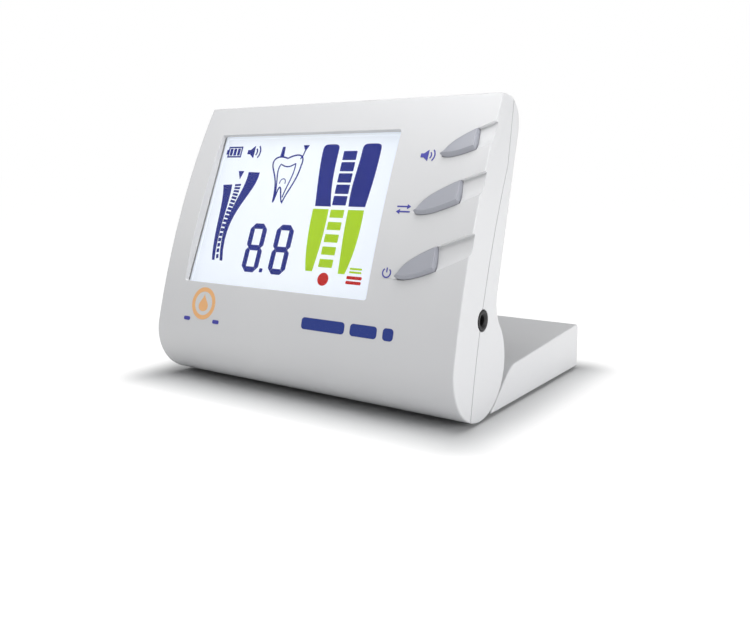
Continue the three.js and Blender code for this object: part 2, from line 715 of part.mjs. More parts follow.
const doorOutline = (shrink) => [
  new THREE.Vector2(-BAY_HALF - DOOR_SIDE + shrink, BAY_FRONT - DOOR_TAB + shrink),
  new THREE.Vector2(BAY_HALF + DOOR_SIDE - shrink, BAY_FRONT - DOOR_TAB + shrink),
  new THREE.Vector2(BAY_HALF + DOOR_SIDE - shrink, BAY_REAR + DOOR_BACK - shrink),
  new THREE.Vector2(-BAY_HALF - DOOR_SIDE + shrink, BAY_REAR + DOOR_BACK - shrink),
];

function baseBottomCover() {
  const middle = (PLATE_FRONT + PLATE_REAR) / 2;
  const wallTop = topHeight(BAY_FRONT - 2, WALL) - GAP;
  const wide = 2 * INNER_HALF - 2 * GAP;
  let cover = slab(rectangle(wide, PLATE_REAR - PLATE_FRONT, 0, middle), BASE_BOTTOM, PLATE_TOP)
    .add(slab(bayOutline(BAY_WALL), PLATE_TOP - 0.5, wallTop))
    .add(rod(DOOR_BOSS_R, PLATE_TOP - 0.5, wallTop, 0, DOOR_SCREW_Y))
    .subtract(slab(bayOutline(0), BASE_BOTTOM - 1, 0))
    .subtract(slab(doorOutline(0), BASE_BOTTOM - 1, BASE_BOTTOM + DOOR_T + GAP))
    .subtract(rod(DOOR_SCREW_HOLE_R, BASE_BOTTOM, wallTop - 1.5, 0, DOOR_SCREW_Y, null, 12));
  for (const [x, y] of BASE_SCREWS) {
    cover = cover.subtract(rod(SHANK_HOLE_R, BASE_BOTTOM - 1, PLATE_TOP + 1, x, y, null, 12));
    cover = cover.subtract(rod(HEAD_HOLE_R, BASE_BOTTOM - 1, BASE_BOTTOM + 1.4, x, y));
  }
  const seatTop = BASE_BOTTOM + FOOT_SINK + SEAT_CLEAR;
  for (const [x, y] of FEET) {
    cover = cover.subtract(rod(FOOT_R + GAP, BASE_BOTTOM - 1, seatTop, x, y, null, 28));
  }
  return cover;
}

function batteryDoor() {
  return slab(doorOutline(GAP), BASE_BOTTOM, BASE_BOTTOM + DOOR_T)
    .subtract(rod(DOOR_SCREW_HOLE_R, BASE_BOTTOM - 1, 0, 0, DOOR_SCREW_Y, null, 12));
}

function doorScrew() {
  return rod(DOOR_SCREW_HEAD_R, BASE_BOTTOM - 1, BASE_BOTTOM - GAP, 0, DOOR_SCREW_Y)
    .add(rod(DOOR_SCREW_SHANK_R, BASE_BOTTOM - 0.5, BASE_BOTTOM + 7, 0, DOOR_SCREW_Y, null, 10));
}

function baseScrew([x, y]) {
  return rod(SCREW_HEAD_R, BASE_BOTTOM + 0.1, BASE_BOTTOM + 1.1, x, y)
    .add(rod(SCREW_SHANK_R, BASE_BOTTOM + 0.5, BASE_BOTTOM + 7.5, x, y, null, 10));
}

const foot = ([x, y]) => rod(FOOT_R, TABLE, BASE_BOTTOM + FOOT_SINK, x, y, null, 28);

// The springs are at the right-hand end of every cell, the flat contact at the left.
const cellStart = -BAY_HALF + CONTACT_T + 2 * GAP;

function batteryCell(y) {
  return rodAcross(CELL_R, cellStart + CELL_NUB_L, cellStart + CELL_L, y, CELL_Z, 24)
    .add(rodAcross(CELL_NUB_R, cellStart, cellStart + CELL_NUB_L + 0.5, y, CELL_Z, 14));
}

function contactPlate(side) {
  const from = side < 0 ? -BAY_HALF + GAP : BAY_HALF - GAP - CONTACT_T;
  const outline = [
    new THREE.Vector2(BAY_FRONT + 1, PLATE_TOP),
    new THREE.Vector2(BAY_REAR - 1, PLATE_TOP),
    new THREE.Vector2(BAY_REAR - 1, CELL_Z + 4),
    new THREE.Vector2(BAY_FRONT + 1, CELL_Z + 4),
  ];
  return prism(outline, from, from + CONTACT_T);
}

function batterySpring(y) {
  // A conical coil from the contact plate down to the flat end of a cell.
  const from = cellStart + CELL_L + 0.7;
  const to = BAY_HALF - CONTACT_T - 2 * GAP - 0.5;
  const turns = 2.5;
  const coil = new THREE.CatmullRomCurve3(Array.from({ length: 21 }, (_, i) => {
    const share = i / 20;
    const angle = share * turns * 2 * Math.PI;
    const radius = 2.2 + 1.6 * share;
    const around = polar(angle, radius);
    return new THREE.Vector3(from + (to - from) * share, y + around.x, CELL_Z + around.y);
  }));
  const wire = new THREE.Shape(arc(ORIGIN, SPRING_WIRE, 0, 2 * Math.PI * (5 / 6), 5));
  return solidOf(new THREE.ExtrudeGeometry(wire, { extrudePath: coil, steps: 48, bevelEnabled: false }));
}

// ---- Assembly --------------------------------------------------------------------------------

function part(name, solid, material) {
  const mesh = new THREE.Mesh(geometryOf(solid), material);
  mesh.name = name;
  return mesh;
}

function group(matrix, ...children) {
  const result = new THREE.Group();
  if (matrix) result.applyMatrix4(matrix);
  result.add(...children);
  return result;
}

const sideName = (side) => (side < 0 ? 'left' : 'right');

const screen = group(
  null,
  part('front_cover', frontCover(), WHITE),
  part('rear_cover', rearCover(), WHITE),
  part('probe_socket', probeSocket(), BLACK),
  ...[-1, 1].flatMap((side) => [
    part(`bumper_${sideName(side)}`, bumper(side), RUBBER),
    part(`hinge_bolt_${sideName(side)}`, hingeBolt(side), STEEL),
    part(`hinge_spring_${sideName(side)}`, hingeSpring(side), STEEL),
    part(`hinge_nut_${sideName(side)}`, hingeNut(side), STEEL),
  ]),
  group(
    windowFrame,
    part('screen_window', slab(
      rectangle(WINDOW_W + 2 * WINDOW_LIP, WINDOW_H + 2 * WINDOW_LIP),
      -WINDOW_DEPTH - WINDOW_T,
      -WINDOW_DEPTH,
    ), CLEAR),
    part('lcd_panel', slab(rectangle(LCD_W, LCD_H), -lcdBack, -lcdBack + LCD_T), LCD_GLASS),
    part('lcd_backlight', slab(
      rectangle(LCD_W, BACKLIGHT_H, 0, (LCD_H - BACKLIGHT_H) / 2),
      -lcdBack - GAP - BACKLIGHT_T,
      -lcdBack - GAP,
    ), MILK_WHITE),
    part('lcd_connector', slab(
      rectangle(LCD_W - 6, CONNECTOR_H, 0, -LCD_H / 2 + CONNECTOR_H + 0.2),
      -BOARD_DEPTH + GAP,
      -lcdBack - GAP,
    ), RUBBER),
    part('lcd_holder', lcdHolder(), MILK_WHITE),
    part('main_board', mainBoard(), BOARD_GREEN),
    part('main_chip', mainChip(), BLACK),
    part('buzzer', buzzer(), BLACK),
  ),
  group(
    screwFrame,
    ...COVER_SCREWS.map((screw, i) => part(`cover_screw_${i + 1}`, coverScrew(screw), STEEL)),
  ),
  ...KEYS.map((key) => group(
    keyFrame(key),
    part(`${key.name}_key`, keySolid(key), KEY_GREY),
    part(`${key.name}_switch`, keySwitch(key), BLACK),
  )),
);

const base = group(
  null,
  part('base_top_cover', baseTopCover(), WHITE),
  part('base_bottom_cover', baseBottomCover(), WHITE),
  part('battery_door', batteryDoor(), WHITE),
  part('door_screw', doorScrew(), STEEL),
  part('contact_plate_left', contactPlate(-1), STEEL),
  part('contact_plate_right', contactPlate(1), STEEL),
  ...CELLS_Y.flatMap((y, i) => [
    part(`battery_cell_${i + 1}`, batteryCell(y), CELL_WRAP),
    part(`battery_spring_${i + 1}`, batterySpring(y), STEEL),
  ]),
  ...BASE_SCREWS.map((screw, i) => part(`base_screw_${i + 1}`, baseScrew(screw), STEEL)),
  ...FEET.map((place, i) => part(`foot_${i + 1}`, foot(place), RUBBER)),
  ...[-1, 1].map((side) => part(`hinge_bush_${sideName(side)}`, hingeBush(side), BRASS)),
);

const apexLocator = group(null, screen, base);
apexLocator.position.set(0, (BARREL_R - BASE_REAR) / 2, AXIS_HEIGHT);

export default apexLocator;
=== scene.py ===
"""Apex locator: the finished look of every visible piece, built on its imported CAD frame.

Flat shapes are drawn in x and y, thickened along z, and then laid on their face.
"""

import json
from math import acos, asin, atan2, cos, pi, radians, sin, sqrt, tan

import bmesh
import bpy
from mathutils import Matrix, Vector
from mathutils.geometry import interpolate_bezier


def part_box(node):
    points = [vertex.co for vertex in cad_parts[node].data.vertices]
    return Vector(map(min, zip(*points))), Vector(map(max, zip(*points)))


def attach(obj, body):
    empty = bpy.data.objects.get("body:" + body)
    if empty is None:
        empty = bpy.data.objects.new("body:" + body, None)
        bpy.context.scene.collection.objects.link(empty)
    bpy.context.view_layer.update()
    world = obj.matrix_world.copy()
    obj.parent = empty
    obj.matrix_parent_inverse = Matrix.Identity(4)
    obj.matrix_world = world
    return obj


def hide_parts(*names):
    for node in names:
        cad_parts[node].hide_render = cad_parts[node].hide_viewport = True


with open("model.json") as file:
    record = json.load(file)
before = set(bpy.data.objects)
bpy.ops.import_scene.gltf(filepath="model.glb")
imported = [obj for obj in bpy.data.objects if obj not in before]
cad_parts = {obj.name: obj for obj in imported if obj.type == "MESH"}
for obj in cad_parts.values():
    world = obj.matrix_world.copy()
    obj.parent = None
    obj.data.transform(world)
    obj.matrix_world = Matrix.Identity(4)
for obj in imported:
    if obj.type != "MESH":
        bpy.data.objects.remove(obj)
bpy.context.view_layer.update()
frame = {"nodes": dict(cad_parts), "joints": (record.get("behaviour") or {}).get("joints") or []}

# ---- Sizes -------------------------------------------------------------------------------

MM = 0.001
joints = {joint["name"]: joint for joint in frame["joints"]}
HINGE = Vector(joints["screen_fold"]["pos_m"])
TO_ROW = Matrix.Translation(HINGE) @ Matrix.Scale(MM, 4)

WIDTH = 130
HALF = WIDTH / 2
WALL = 2.2
GAP = 0.3
INNER_HALF = HALF - WALL
RIM = 0.5

BARREL_R = 17.7
FRONT_R = 300
TOP_FRONT = Vector((14, 86.4))
BACK_LEAN = radians(15.4)
BACK_OFFSET = 5.4
NECK_R = 12
TOP_R = 9
SEAM_DEPTH = 14.3
SEAM_BEND = 63
SEAM_TOP_SLOPE = 0.19

BASE_BOTTOM = -17.2
TABLE = -18.6
BASE_REAR = 86.5
BASE_SLOPE = radians(3.66)
BASE_TOP_OFFSET = 5.74
CRADLE_R = BARREL_R + 0.5
CRADLE_END = radians(-43)
RAMP_SLOPE = radians(38.8)
NOSE = 8

WINDOW_X = -11.9
WINDOW_LEAN = radians(21.1)
WINDOW_W = 83.4
WINDOW_H = 58.9
WINDOW_DEPTH = 3
WINDOW_T = 1.5
OPENING_FLARE = 0.25
LCD_DEPTH = WINDOW_DEPTH + WINDOW_T + GAP
LIP_BOTTOM = WINDOW_DEPTH - 0.03
LIP_MARGIN = 2.6
POCKET_MARGIN = 1.6
POCKET_DEPTH = 12
PLATE_MARGIN = 1.3
# The surround below is a glowing frame: painted light in the gap around the display.
SURROUND_OUT = 0.7
SURROUND_IN = 0.25
SURROUND_GAP = 0.02

KEYS = {
    "volume": (48.4, radians(25.9), 12.5),
    "mode": (43.0, radians(22.1), 16),
    "power": (40.3, radians(18.0), 14.6),
}
KEY_TIP_Y = -5.5
KEY_PROUD = 1.6
KEY_UPPER = 0.3
KEY_DEEP = -2.8
KEY_GAP = 0.12
KEY_END = 0.6
KEY_SLANT = 0.9
KEY_FLANGE = 1.2
KEY_STEM_R = 1.8
HOLLOW_DEPTH = 1.15
HOLLOW_GROWTH = 0.4
HOLLOW_ABOVE = 1.2
HOLLOW_START = 0.3
FIN_END = 26
FIN_TOP = [(0, 0), (0.3, 5), (8.5, 9.5), (24.7, 15.9)]
FIN_BOTTOM = [(0, 0), (4, -1.5), (12, 2), (24.7, 8.5)]

ARM_X = 36
ARM_W = 12
ARM_T = 7
ARM_ANGLE = radians(-36)
ARM_REACH = 20
EYE_R = 6.5
BUSH_R = 4
FOLD = radians(70)
SLOT_CLEAR = 0.5
SLOT_MARGIN = radians(15)
BOLT_R = 2.3
RIB_T = 2
RIB_R = 16.5

SOCKET_Y = 1.1
SOCKET_Z = 14.5
SOCKET_R = 3.3
SOCKET_PROUD = 0.2
SOCKET_BODY_R = 4.6
SOCKET_BODY = 15
BORE_R = 1.8
BORE_DEPTH = 13

CELL_R = 5.25
CELL_PLAY = 0.6
CELL_FRONT = 52 - CELL_R - CELL_PLAY
CELL_REAR = 74 + CELL_R + CELL_PLAY
CELL_LENGTH = 44.5
SPRING_LENGTH = 4.6
BAY_HALF = (CELL_LENGTH + SPRING_LENGTH) / 2 + 0.5 + 2 * GAP
BAY_WALL = 1.4
PLATE_T = 2.4
DOOR_T = 1.4
DOOR_LAP = 2
DOOR_TAB = 7
DOOR_SCREW_Y = CELL_FRONT - DOOR_TAB / 2 - 0.2

# Screws are head radius, head height, shank radius and shank length; the rest are places.
COVER_SCREW = (2.7, 1.6, 1.2, 8.3)
BASE_SCREW = (2.7, 1, 1.2, 6.4)
DOOR_SCREW = (2.4, 0.7, 1.1, 7.3)
COVER_SCREWS = [(-50, 35.5), (50, 35.5), (-16, -35.7), (16, -35.7)]
BASE_SCREWS = [(-45, 26), (45, 26), (-45, 74), (45, 74)]
SHANK_HOLE_R = 1.6
HEAD_HOLE_R = 3.1
BOSS_R = 3.9
UPPER_SEAT = -14.6
LOWER_SEAT = -17.5
PAST_BACK = -40

FEET = [(-54, 21), (54, 21), (-54, 77), (54, 77)]
FOOT_R = 5.5
FOOT_SEAT = 0.8
BUMPER_X = 36
BUMPER_UP = 74
BUMPER_R = 4
BUMPER_PROUD = 1.1
PAD_SUNK = 0.5
PAD_EDGE = 0.6

EDGE_R = 0.15
KEY_EDGE_R = 0.16
BASE_EDGE_R = 0.22
PRINT_SUNK = 0.05
PRINT_T = 0.09
ICON_SUNK = 0.03
ICON_T = 0.07
SEGMENT_T = 0.08

# ---- Mesh tools --------------------------------------------------------------------------

# Drawn x, y and thickness become y, z and x.
SIDEWAYS = Matrix(((0, 0, 1, 0), (1, 0, 0, 0), (0, 1, 0, 0), (0, 0, 0, 1)))
FLAT = Matrix.Identity(4)


def polar(angle, radius):
    return Vector((cos(angle), sin(angle))) * radius


def angle_of(vector):
    return atan2(vector.y, vector.x)


class Outline:
    """A closed outline, drawn in x and y with straight lines and arcs."""

    def __init__(self, start):
        self.mesh = bmesh.new()
        self.first = self.mesh.verts.new((*start, 0))
        self.last = self.first

    def line(self, *points):
        for point in points:
            grown = bmesh.ops.extrude_vert_indiv(self.mesh, verts=[self.last])
            self.last = grown["verts"][0]
            self.last.co = (*point, 0)
        return self

    def arc(self, centre, turn, steps):
        spun = bmesh.ops.spin(
            self.mesh, geom=[self.last], cent=(*centre, 0), axis=(0, 0, 1), angle=turn, steps=steps
        )
        self.last = spun["geom_last"][0]
        return self

    def solid(self, low, high, matrix=FLAT):
        """The outline filled, thickened from low to high and laid by the matrix."""
        mesh = self.mesh
        if (self.last.co - self.first.co).length > 0.001:
            mesh.edges.new((self.last, self.first))
        bmesh.ops.remove_doubles(mesh, verts=mesh.verts[:], dist=0.001)
        bmesh.ops.contextual_create(mesh, geom=mesh.edges[:])
        bmesh.ops.translate(mesh, verts=mesh.verts[:], vec=(0, 0, low))
        grown = bmesh.ops.extrude_face_region(mesh, geom=mesh.faces[:])
        moved = [item for item in grown["geom"] if isinstance(item, bmesh.types.BMVert)]
        bmesh.ops.translate(mesh, verts=moved, vec=(0, 0, high - low))
        bmesh.ops.recalc_face_normals(mesh, faces=mesh.faces[:])
        mesh.transform(matrix)
        return mesh


def polygon(points):
    return Outline(points[0]).line(*points[1:])


def rounded_rectangle(width, height, radius, x=0, y=0, steps=6):
    """A rectangle with round corners, drawn counterclockwise from its lower right corner."""
    outline = Outline((x + width / 2 - radius, y - height / 2))
    across, up = width / 2 - radius, height / 2 - radius
    for sx, sy, turn in ((1, -1, 0), (1, 1, 1), (-1, 1, 2), (-1, -1, 3)):
        centre = Vector((x + sx * across, y + sy * up))
        start = centre + polar((turn - 1) * pi / 2, radius)
        if turn:
            outline.line(start)
        outline.arc(centre, pi / 2, steps)
    return outline


def circle(radius, x=0, y=0, steps=40):
    return Outline((x + radius, y)).arc((x, y), 2 * pi, steps)


def full_turn(mesh, geometry, steps):
    bmesh.ops.spin(
        mesh,
        geom=geometry,
        cent=(0, 0, 0),
        axis=(0, 0, 1),
        angle=2 * pi,
        steps=steps,
        use_merge=True,
    )


def turned(profile, steps=48, matrix=FLAT):
    """A profile of (radius, height) points that starts and ends on the axis, spun about z."""
    mesh = bmesh.new()
    verts = [mesh.verts.new((radius, 0, height)) for radius, height in profile]
    edges = [mesh.edges.new(pair) for pair in zip(verts, verts[1:])]
    full_turn(mesh, verts + edges, steps)
    bmesh.ops.remove_doubles(mesh, verts=mesh.verts[:], dist=0.001)
    bmesh.ops.recalc_face_normals(mesh, faces=mesh.faces[:])
    mesh.transform(matrix)
    return mesh


def lofted(sections):
    """Closed sections of the same number of points, joined in order and closed at both ends."""
    mesh = bmesh.new()
    loops = []
    for section in sections:
        verts = [mesh.verts.new(point) for point in section]
        loops.append([mesh.edges.new(pair) for pair in zip(verts, verts[1:] + verts[:1])])
    for near, away in zip(loops, loops[1:]):
        bmesh.ops.bridge_loops(mesh, edges=near + away)
    for end in (loops[0], loops[-1]):
        bmesh.ops.contextual_create(mesh, geom=end)
    bmesh.ops.recalc_face_normals(mesh, faces=mesh.faces[:])
    return mesh


def combined(body, tool, operation="DIFFERENCE"):
    """Two closed meshes joined or cut. Both are used up."""
    shapes = []
    for mesh in (body, tool):
        data = bpy.data.meshes.new("shape")
        mesh.to_mesh(data)
        mesh.free()
        shape = bpy.data.objects.new("shape", data)
        bpy.context.scene.collection.objects.link(shape)
        shapes.append(shape)
    modifier = shapes[0].modifiers.new("combine", "BOOLEAN")
    modifier.operation = operation
    modifier.solver = "MANIFOLD"
    modifier.object = shapes[1]
    result = bmesh.new()
    result.from_object(shapes[0], bpy.context.evaluated_depsgraph_get())
    for shape in shapes:
        data = shape.data
        bpy.data.objects.remove(shape)
        bpy.data.meshes.remove(data)
    return result


def cut(body, *tools):
    for tool in tools:
        body = combined(body, tool)
    return body


def joined(body, *others):
    for other in others:
        body = combined(body, other, "UNION")
    return body


def common(body, other):
    return combined(body, other, "INTERSECT")


def together(*meshes):
    """Separate meshes held in one, with nothing joined."""
    result = bmesh.new()
    for mesh in meshes:
        data = bpy.data.meshes.new("shape")
        mesh.to_mesh(data)
        mesh.free()
        result.from_mesh(data)
        bpy.data.meshes.remove(data)
    return result


def rounded(mesh, width, limit=32, segments=3, keep=None):
    """Rounds the edges that turn by more than limit degrees; keep picks among them."""
    bmesh.ops.remove_doubles(mesh, verts=mesh.verts[:], dist=0.02)
    bmesh.ops.dissolve_degenerate(mesh, dist=0.01, edges=mesh.edges[:])
    edges = [
        edge
        for edge in mesh.edges
        if len(edge.link_faces) == 2
        and edge.calc_face_angle() > radians(limit)
        and (keep is None or keep(edge))
    ]
    bmesh.ops.bevel(
        mesh,
        geom=edges,
        offset=width,
        segments=segments,
        profile=0.5,
        affect="EDGES",
        material=-1,
        clamp_overlap=False,
    )
    return mesh


def finish(mesh, name, body, material, nodes=()):
    """Makes the piece: in metres in the CAD frame, smooth but for its sharp edges, on its body."""
    mesh.transform(TO_ROW)
    data = bpy.data.meshes.new(name)
    mesh.to_mesh(data)
    mesh.free()
    data.polygons.foreach_set("use_smooth", [True] * len(data.polygons))
    data.set_sharp_from_angle(angle=radians(30))
    data.materials.append(material)
    piece = bpy.data.objects.new(name, data)
    bpy.context.scene.collection.objects.link(piece)
    even = piece.modifiers.new("even normals", "WEIGHTED_NORMAL")
    even.keep_sharp = True
    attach(piece, body)
    if nodes:
        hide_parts(*nodes)
    return piece


# ---- Shader tools ------------------------------------------------------------------------


class Wire:
    """A shader socket that does arithmetic by adding Math nodes."""

    def __init__(self, nodes, socket):
        self.nodes = nodes
        self.socket = socket

    def math(self, operation, *values):
        return self.nodes.node("Math", {"operation": operation}, dict(enumerate((self, *values))))

    def __add__(self, other):
        return self.math("ADD", other)

    def __mul__(self, other):
        return self.math("MULTIPLY", other)

    def __sub__(self, other):
        return self.math("SUBTRACT", other)

    def __rsub__(self, other):
        return self.nodes.node("Math", {"operation": "SUBTRACT"}, {0: other, 1: self})

    __radd__ = __add__
    __rmul__ = __mul__

    def between(self, low, high):
        """0 below low, 1 above high, smooth in between."""
        settings = {"interpolation_type": "SMOOTHSTEP"}
        return self.nodes.node("MapRange", settings, {0: self, 1: low, 2: high, 3: 0.0, 4: 1.0})


class Nodes:
    """A node tree that is built up by calls."""

    def __init__(self, tree):
        self.tree = tree

    def feed(self, socket, value):
        if isinstance(value, Wire):
            self.tree.links.new(value.socket, socket)
        elif socket.type == "RGBA":
            socket.default_value = (*value, 1)
        else:
            socket.default_value = value

    def node(self, kind, settings=None, inputs=None, output=0):
        node = self.tree.nodes.new("ShaderNode" + kind)
        for name, value in (settings or {}).items():
            setattr(node, name, value)
        for name, value in (inputs or {}).items():
            self.feed(node.inputs[name], value)
        return Wire(self, node.outputs[output])


class Finish(Nodes):
    """A procedural material on one Principled shader."""

    def __init__(self, name, **constants):
        self.material = bpy.data.materials.new(name)
        self.material.use_nodes = True
        super().__init__(self.material.node_tree)
        self.shader = self.tree.nodes["Principled BSDF"]
        for socket, value in constants.items():
            self.set(socket.replace("_", " "), value)

    def set(self, socket, value):
        self.feed(self.shader.inputs[socket], value)

    def place(self):
        return self.node("TexCoord", output="Object")

    def noise(self, scale, detail=2.0, roughness=0.5):
        inputs = {"Vector": self.place(), "Scale": scale, "Detail": detail, "Roughness": roughness}
        return self.node("TexNoise", None, inputs)

    def mix(self, share, first, second):
        return self.node("Mix", {"data_type": "RGBA"}, {0: share, 6: first, 7: second}, output=2)

    def bump(self, height, strength, distance):
        inputs = {"Strength": strength, "Distance": distance, "Height": height}
        self.set("Normal", self.node("Bump", None, inputs))


def moulded(name, color, shade, roughness):
    """Moulded plastic: a fine spark-eroded grain, faint cloudiness and uneven gloss."""
    made = Finish(name, IOR=1.5)
    grain = 2600
    clouds = made.noise(22, 3)
    fine = made.noise(grain, 3, 0.6)
    specks = made.noise(grain * 0.4, 1)
    made.set("Base Color", made.mix(clouds.between(0.3, 0.75), color, shade))
    made.set("Roughness", roughness + 0.12 * (clouds - 0.5) + 0.08 * (fine - 0.5))
    made.bump(fine + 0.4 * specks, 0.08, 0.00006)
    return made.material


def metal(name, color, shade, roughness):
    """Plated or turned metal with fine rings of tool marks and a little tarnish."""
    made = Finish(name, Metallic=1.0)
    stain = made.noise(400, 4)
    marks = made.noise(5200, 2)
    made.set("Base Color", made.mix(stain.between(0.35, 0.8), color, shade))
    made.set("Roughness", roughness + 0.2 * (marks - 0.5))
    made.bump(marks, 0.1, 0.00003)
    return made.material


def rubber(name, color, shade):
    made = Finish(name, IOR=1.45)
    dust = made.noise(900, 4)
    made.set("Base Color", made.mix(dust.between(0.4, 0.9), color, shade))
    made.set("Roughness", 0.72 + 0.2 * (dust - 0.5))
    made.bump(made.noise(6000, 2), 0.2, 0.00005)
    return made.material


def circuit_board():
    """Green lacquer over copper tracks on a 2.5 mm grid."""
    made = Finish("circuit_board", Roughness=0.3)
    inputs = {"Vector": made.place(), "Scale": 160.0, "Mortar Size": 0.06}
    tracks = made.node("TexBrick", {"offset": 0.5}, inputs, output=1)
    made.set("Base Color", made.mix(tracks, (0.012, 0.11, 0.035), (0.05, 0.22, 0.07)))
    made.bump(tracks, 0.3, 0.00005)
    return made.material


def cell_wrap():
    """Shrink-wrapped cell: a dark band at one end and faint wrinkles."""
    made = Finish("cell_wrap", Metallic=0.3)
    across = made.node("SeparateXYZ", None, {0: made.place()})
    band = across.between(-0.012, -0.0115)
    made.set("Base Color", made.mix(band, (0.03, 0.03, 0.035), (0.05, 0.17, 0.42)))
    made.set("Roughness", 0.28 + 0.15 * made.noise(500, 3))
    made.bump(made.noise(1400, 3), 0.15, 0.0001)
    return made.material


def lit_display():
    """The lit background of the display: pale blue-white, a little dimmer towards its edges."""
    made = Finish("lit_display", Roughness=0.25)
    low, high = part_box("lcd_panel")
    places = {0: made.place(), 1: (low + high) / 2}
    away = made.node("VectorMath", {"operation": "DISTANCE"}, places, output=1)
    edge = away.between(0.012, 0.056)
    made.set("Base Color", made.mix(edge, (0.34, 0.36, 0.38), (0.32, 0.34, 0.37)))
    made.set("Emission Color", made.mix(edge, (0.88, 0.92, 0.96), (0.84, 0.89, 0.97)))
    made.set("Emission Strength", 0.74)
    return made.material


def segment_ink(name, color, glow=0.25):
    """A switched-on display segment: dark dye in front of the light, a touch uneven."""
    made = Finish(name, Roughness=0.3, Specular_IOR_Level=0.12)
    grain = made.noise(3000, 2)
    darker = tuple(0.85 * channel for channel in color)
    tone = made.mix(grain, color, darker)
    made.set("Base Color", tone)
    made.set("Emission Color", tone)
    made.set("Emission Strength", glow)
    return made.material


def window_acrylic():
    made = Finish("window_acrylic", Transmission_Weight=1.0, IOR=1.14)
    made.set("Base Color", (0.985, 0.993, 1.0))
    made.set("Roughness", 0.01 + 0.02 * made.noise(60, 2))
    return made.material


def print_ink(name, color):
    """Screen-printed ink: flat colour with pinholes and a soft sheen."""
    made = Finish(name)
    pale = tuple(channel * 0.8 + 0.1 for channel in color)
    made.set("Base Color", made.mix(made.noise(5000, 2).between(0.55, 0.9), color, pale))
    made.set("Roughness", 0.45 + 0.1 * made.noise(900, 2))
    return made.material


WHITE = moulded("white_abs", (0.67, 0.675, 0.685), (0.65, 0.655, 0.67), 0.36)
KEY_GREY = moulded("key_grey", (0.365, 0.375, 0.42), (0.335, 0.345, 0.39), 0.34)
BLACK = moulded("black_plastic", (0.008, 0.008, 0.009), (0.014, 0.014, 0.015), 0.5)
MILK = moulded("milk_plastic", (0.82, 0.82, 0.79), (0.78, 0.78, 0.75), 0.5)
RUBBER = rubber("foot_rubber", (0.03, 0.03, 0.033), (0.06, 0.06, 0.064))
STEEL = metal("plated_steel", (0.62, 0.63, 0.66), (0.5, 0.5, 0.52), 0.3)
BRASS = metal("turned_brass", (0.75, 0.56, 0.22), (0.6, 0.42, 0.16), 0.28)
BOARD = circuit_board()
CELL = cell_wrap()
DISPLAY = lit_display()
NAVY = segment_ink("navy_segments", (0.022, 0.032, 0.24))
GREEN = segment_ink("green_segments", (0.40, 0.62, 0.022), 0.35)
RED = segment_ink("red_segments", (0.52, 0.022, 0.018), 0.35)
ACRYLIC = window_acrylic()
BLUE_PRINT = print_ink("blue_print", (0.012, 0.035, 0.24))
VIOLET_PRINT = print_ink("violet_print", (0.055, 0.055, 0.36))
ORANGE_PRINT = print_ink("orange_print", (0.84, 0.46, 0.20))

CARRIED = {
    "lcd_panel": DISPLAY,
    "lcd_backlight": MILK,
    "lcd_holder": MILK,
    "lcd_connector": RUBBER,
    "screen_window": ACRYLIC,
    "main_board": BOARD,
}
FAMILIES = {
    "hinge_bush": BRASS,
    "battery_cell": CELL,
    "battery_spring": STEEL,
    "contact_plate": STEEL,
    "hinge_bolt": STEEL,
    "hinge_spring": STEEL,
    "hinge_nut": STEEL,
    "base_screw": STEEL,
    "cover_screw": STEEL,
    "door_screw": STEEL,
    "foot": RUBBER,
    "bumper": RUBBER,
}


def carried_material(node):
    if node in CARRIED:
        return CARRIED[node]
    for family, material in FAMILIES.items():
        if node.startswith(family):
            return material
    return BLACK


for node_name, node_object in frame["nodes"].items():
    node_object.data.materials.clear()
    node_object.data.materials.append(carried_material(node_name))

# ---- The housing's side view -------------------------------------------------------------

ORIGIN = Vector((0, 0))


def circles_meet(a, radius_a, b, radius_b):
    """The meeting point on the left of the line from a to b."""
    line = b - a
    along = (line.length_squared + radius_a**2 - radius_b**2) / (2 * line.length)
    across = sqrt(radius_a**2 - along**2)
    line.normalize()
    return a + line * along + Vector((-line.y, line.x)) * across


front_centre = circles_meet(TOP_FRONT, FRONT_R, ORIGIN, FRONT_R - BARREL_R)
back_normal = polar(-BACK_LEAN, 1)
back_up = polar(pi / 2 - BACK_LEAN, 1)
neck_up = sqrt((BARREL_R + NECK_R) ** 2 - (BACK_OFFSET + NECK_R) ** 2)
neck_centre = back_normal * (BACK_OFFSET + NECK_R) + back_up * neck_up
top_z = TOP_FRONT.y - TOP_R - 0.3
top_centre = Vector(((BACK_OFFSET - TOP_R - back_normal.y * top_z) / back_normal.x, top_z))
to_corner = TOP_FRONT - top_centre
top_angle = angle_of(to_corner) - acos(TOP_R / to_corner.length)
front_angle = angle_of(-front_centre)


def housing_outline(inset):
    """Barrel, neck, back, top round and front, counterclockwise."""
    top_start = top_centre + polar(top_angle, TOP_R - inset)
    top_line = polar(top_angle + pi / 2, 1)
    to_centre = front_centre - top_start
    along = to_centre.dot(top_line)
    half = sqrt((FRONT_R - inset) ** 2 - to_centre.length_squared + along**2)
    corner = top_start + top_line * (along - half if along > half else along + half)
    corner_angle = angle_of(corner - front_centre)
    neck_angle = angle_of(neck_centre)
    return (
        Outline(polar(front_angle, BARREL_R - inset))
        .arc(ORIGIN, 2 * pi + neck_angle - front_angle, 66)
        .arc(neck_centre, -BACK_LEAN - neck_angle, 18)
        .line(top_centre + polar(-BACK_LEAN, TOP_R - inset))
        .arc(top_centre, top_angle + BACK_LEAN, 27)
        .line(corner)
        .arc(front_centre, front_angle - corner_angle, 48)
    )


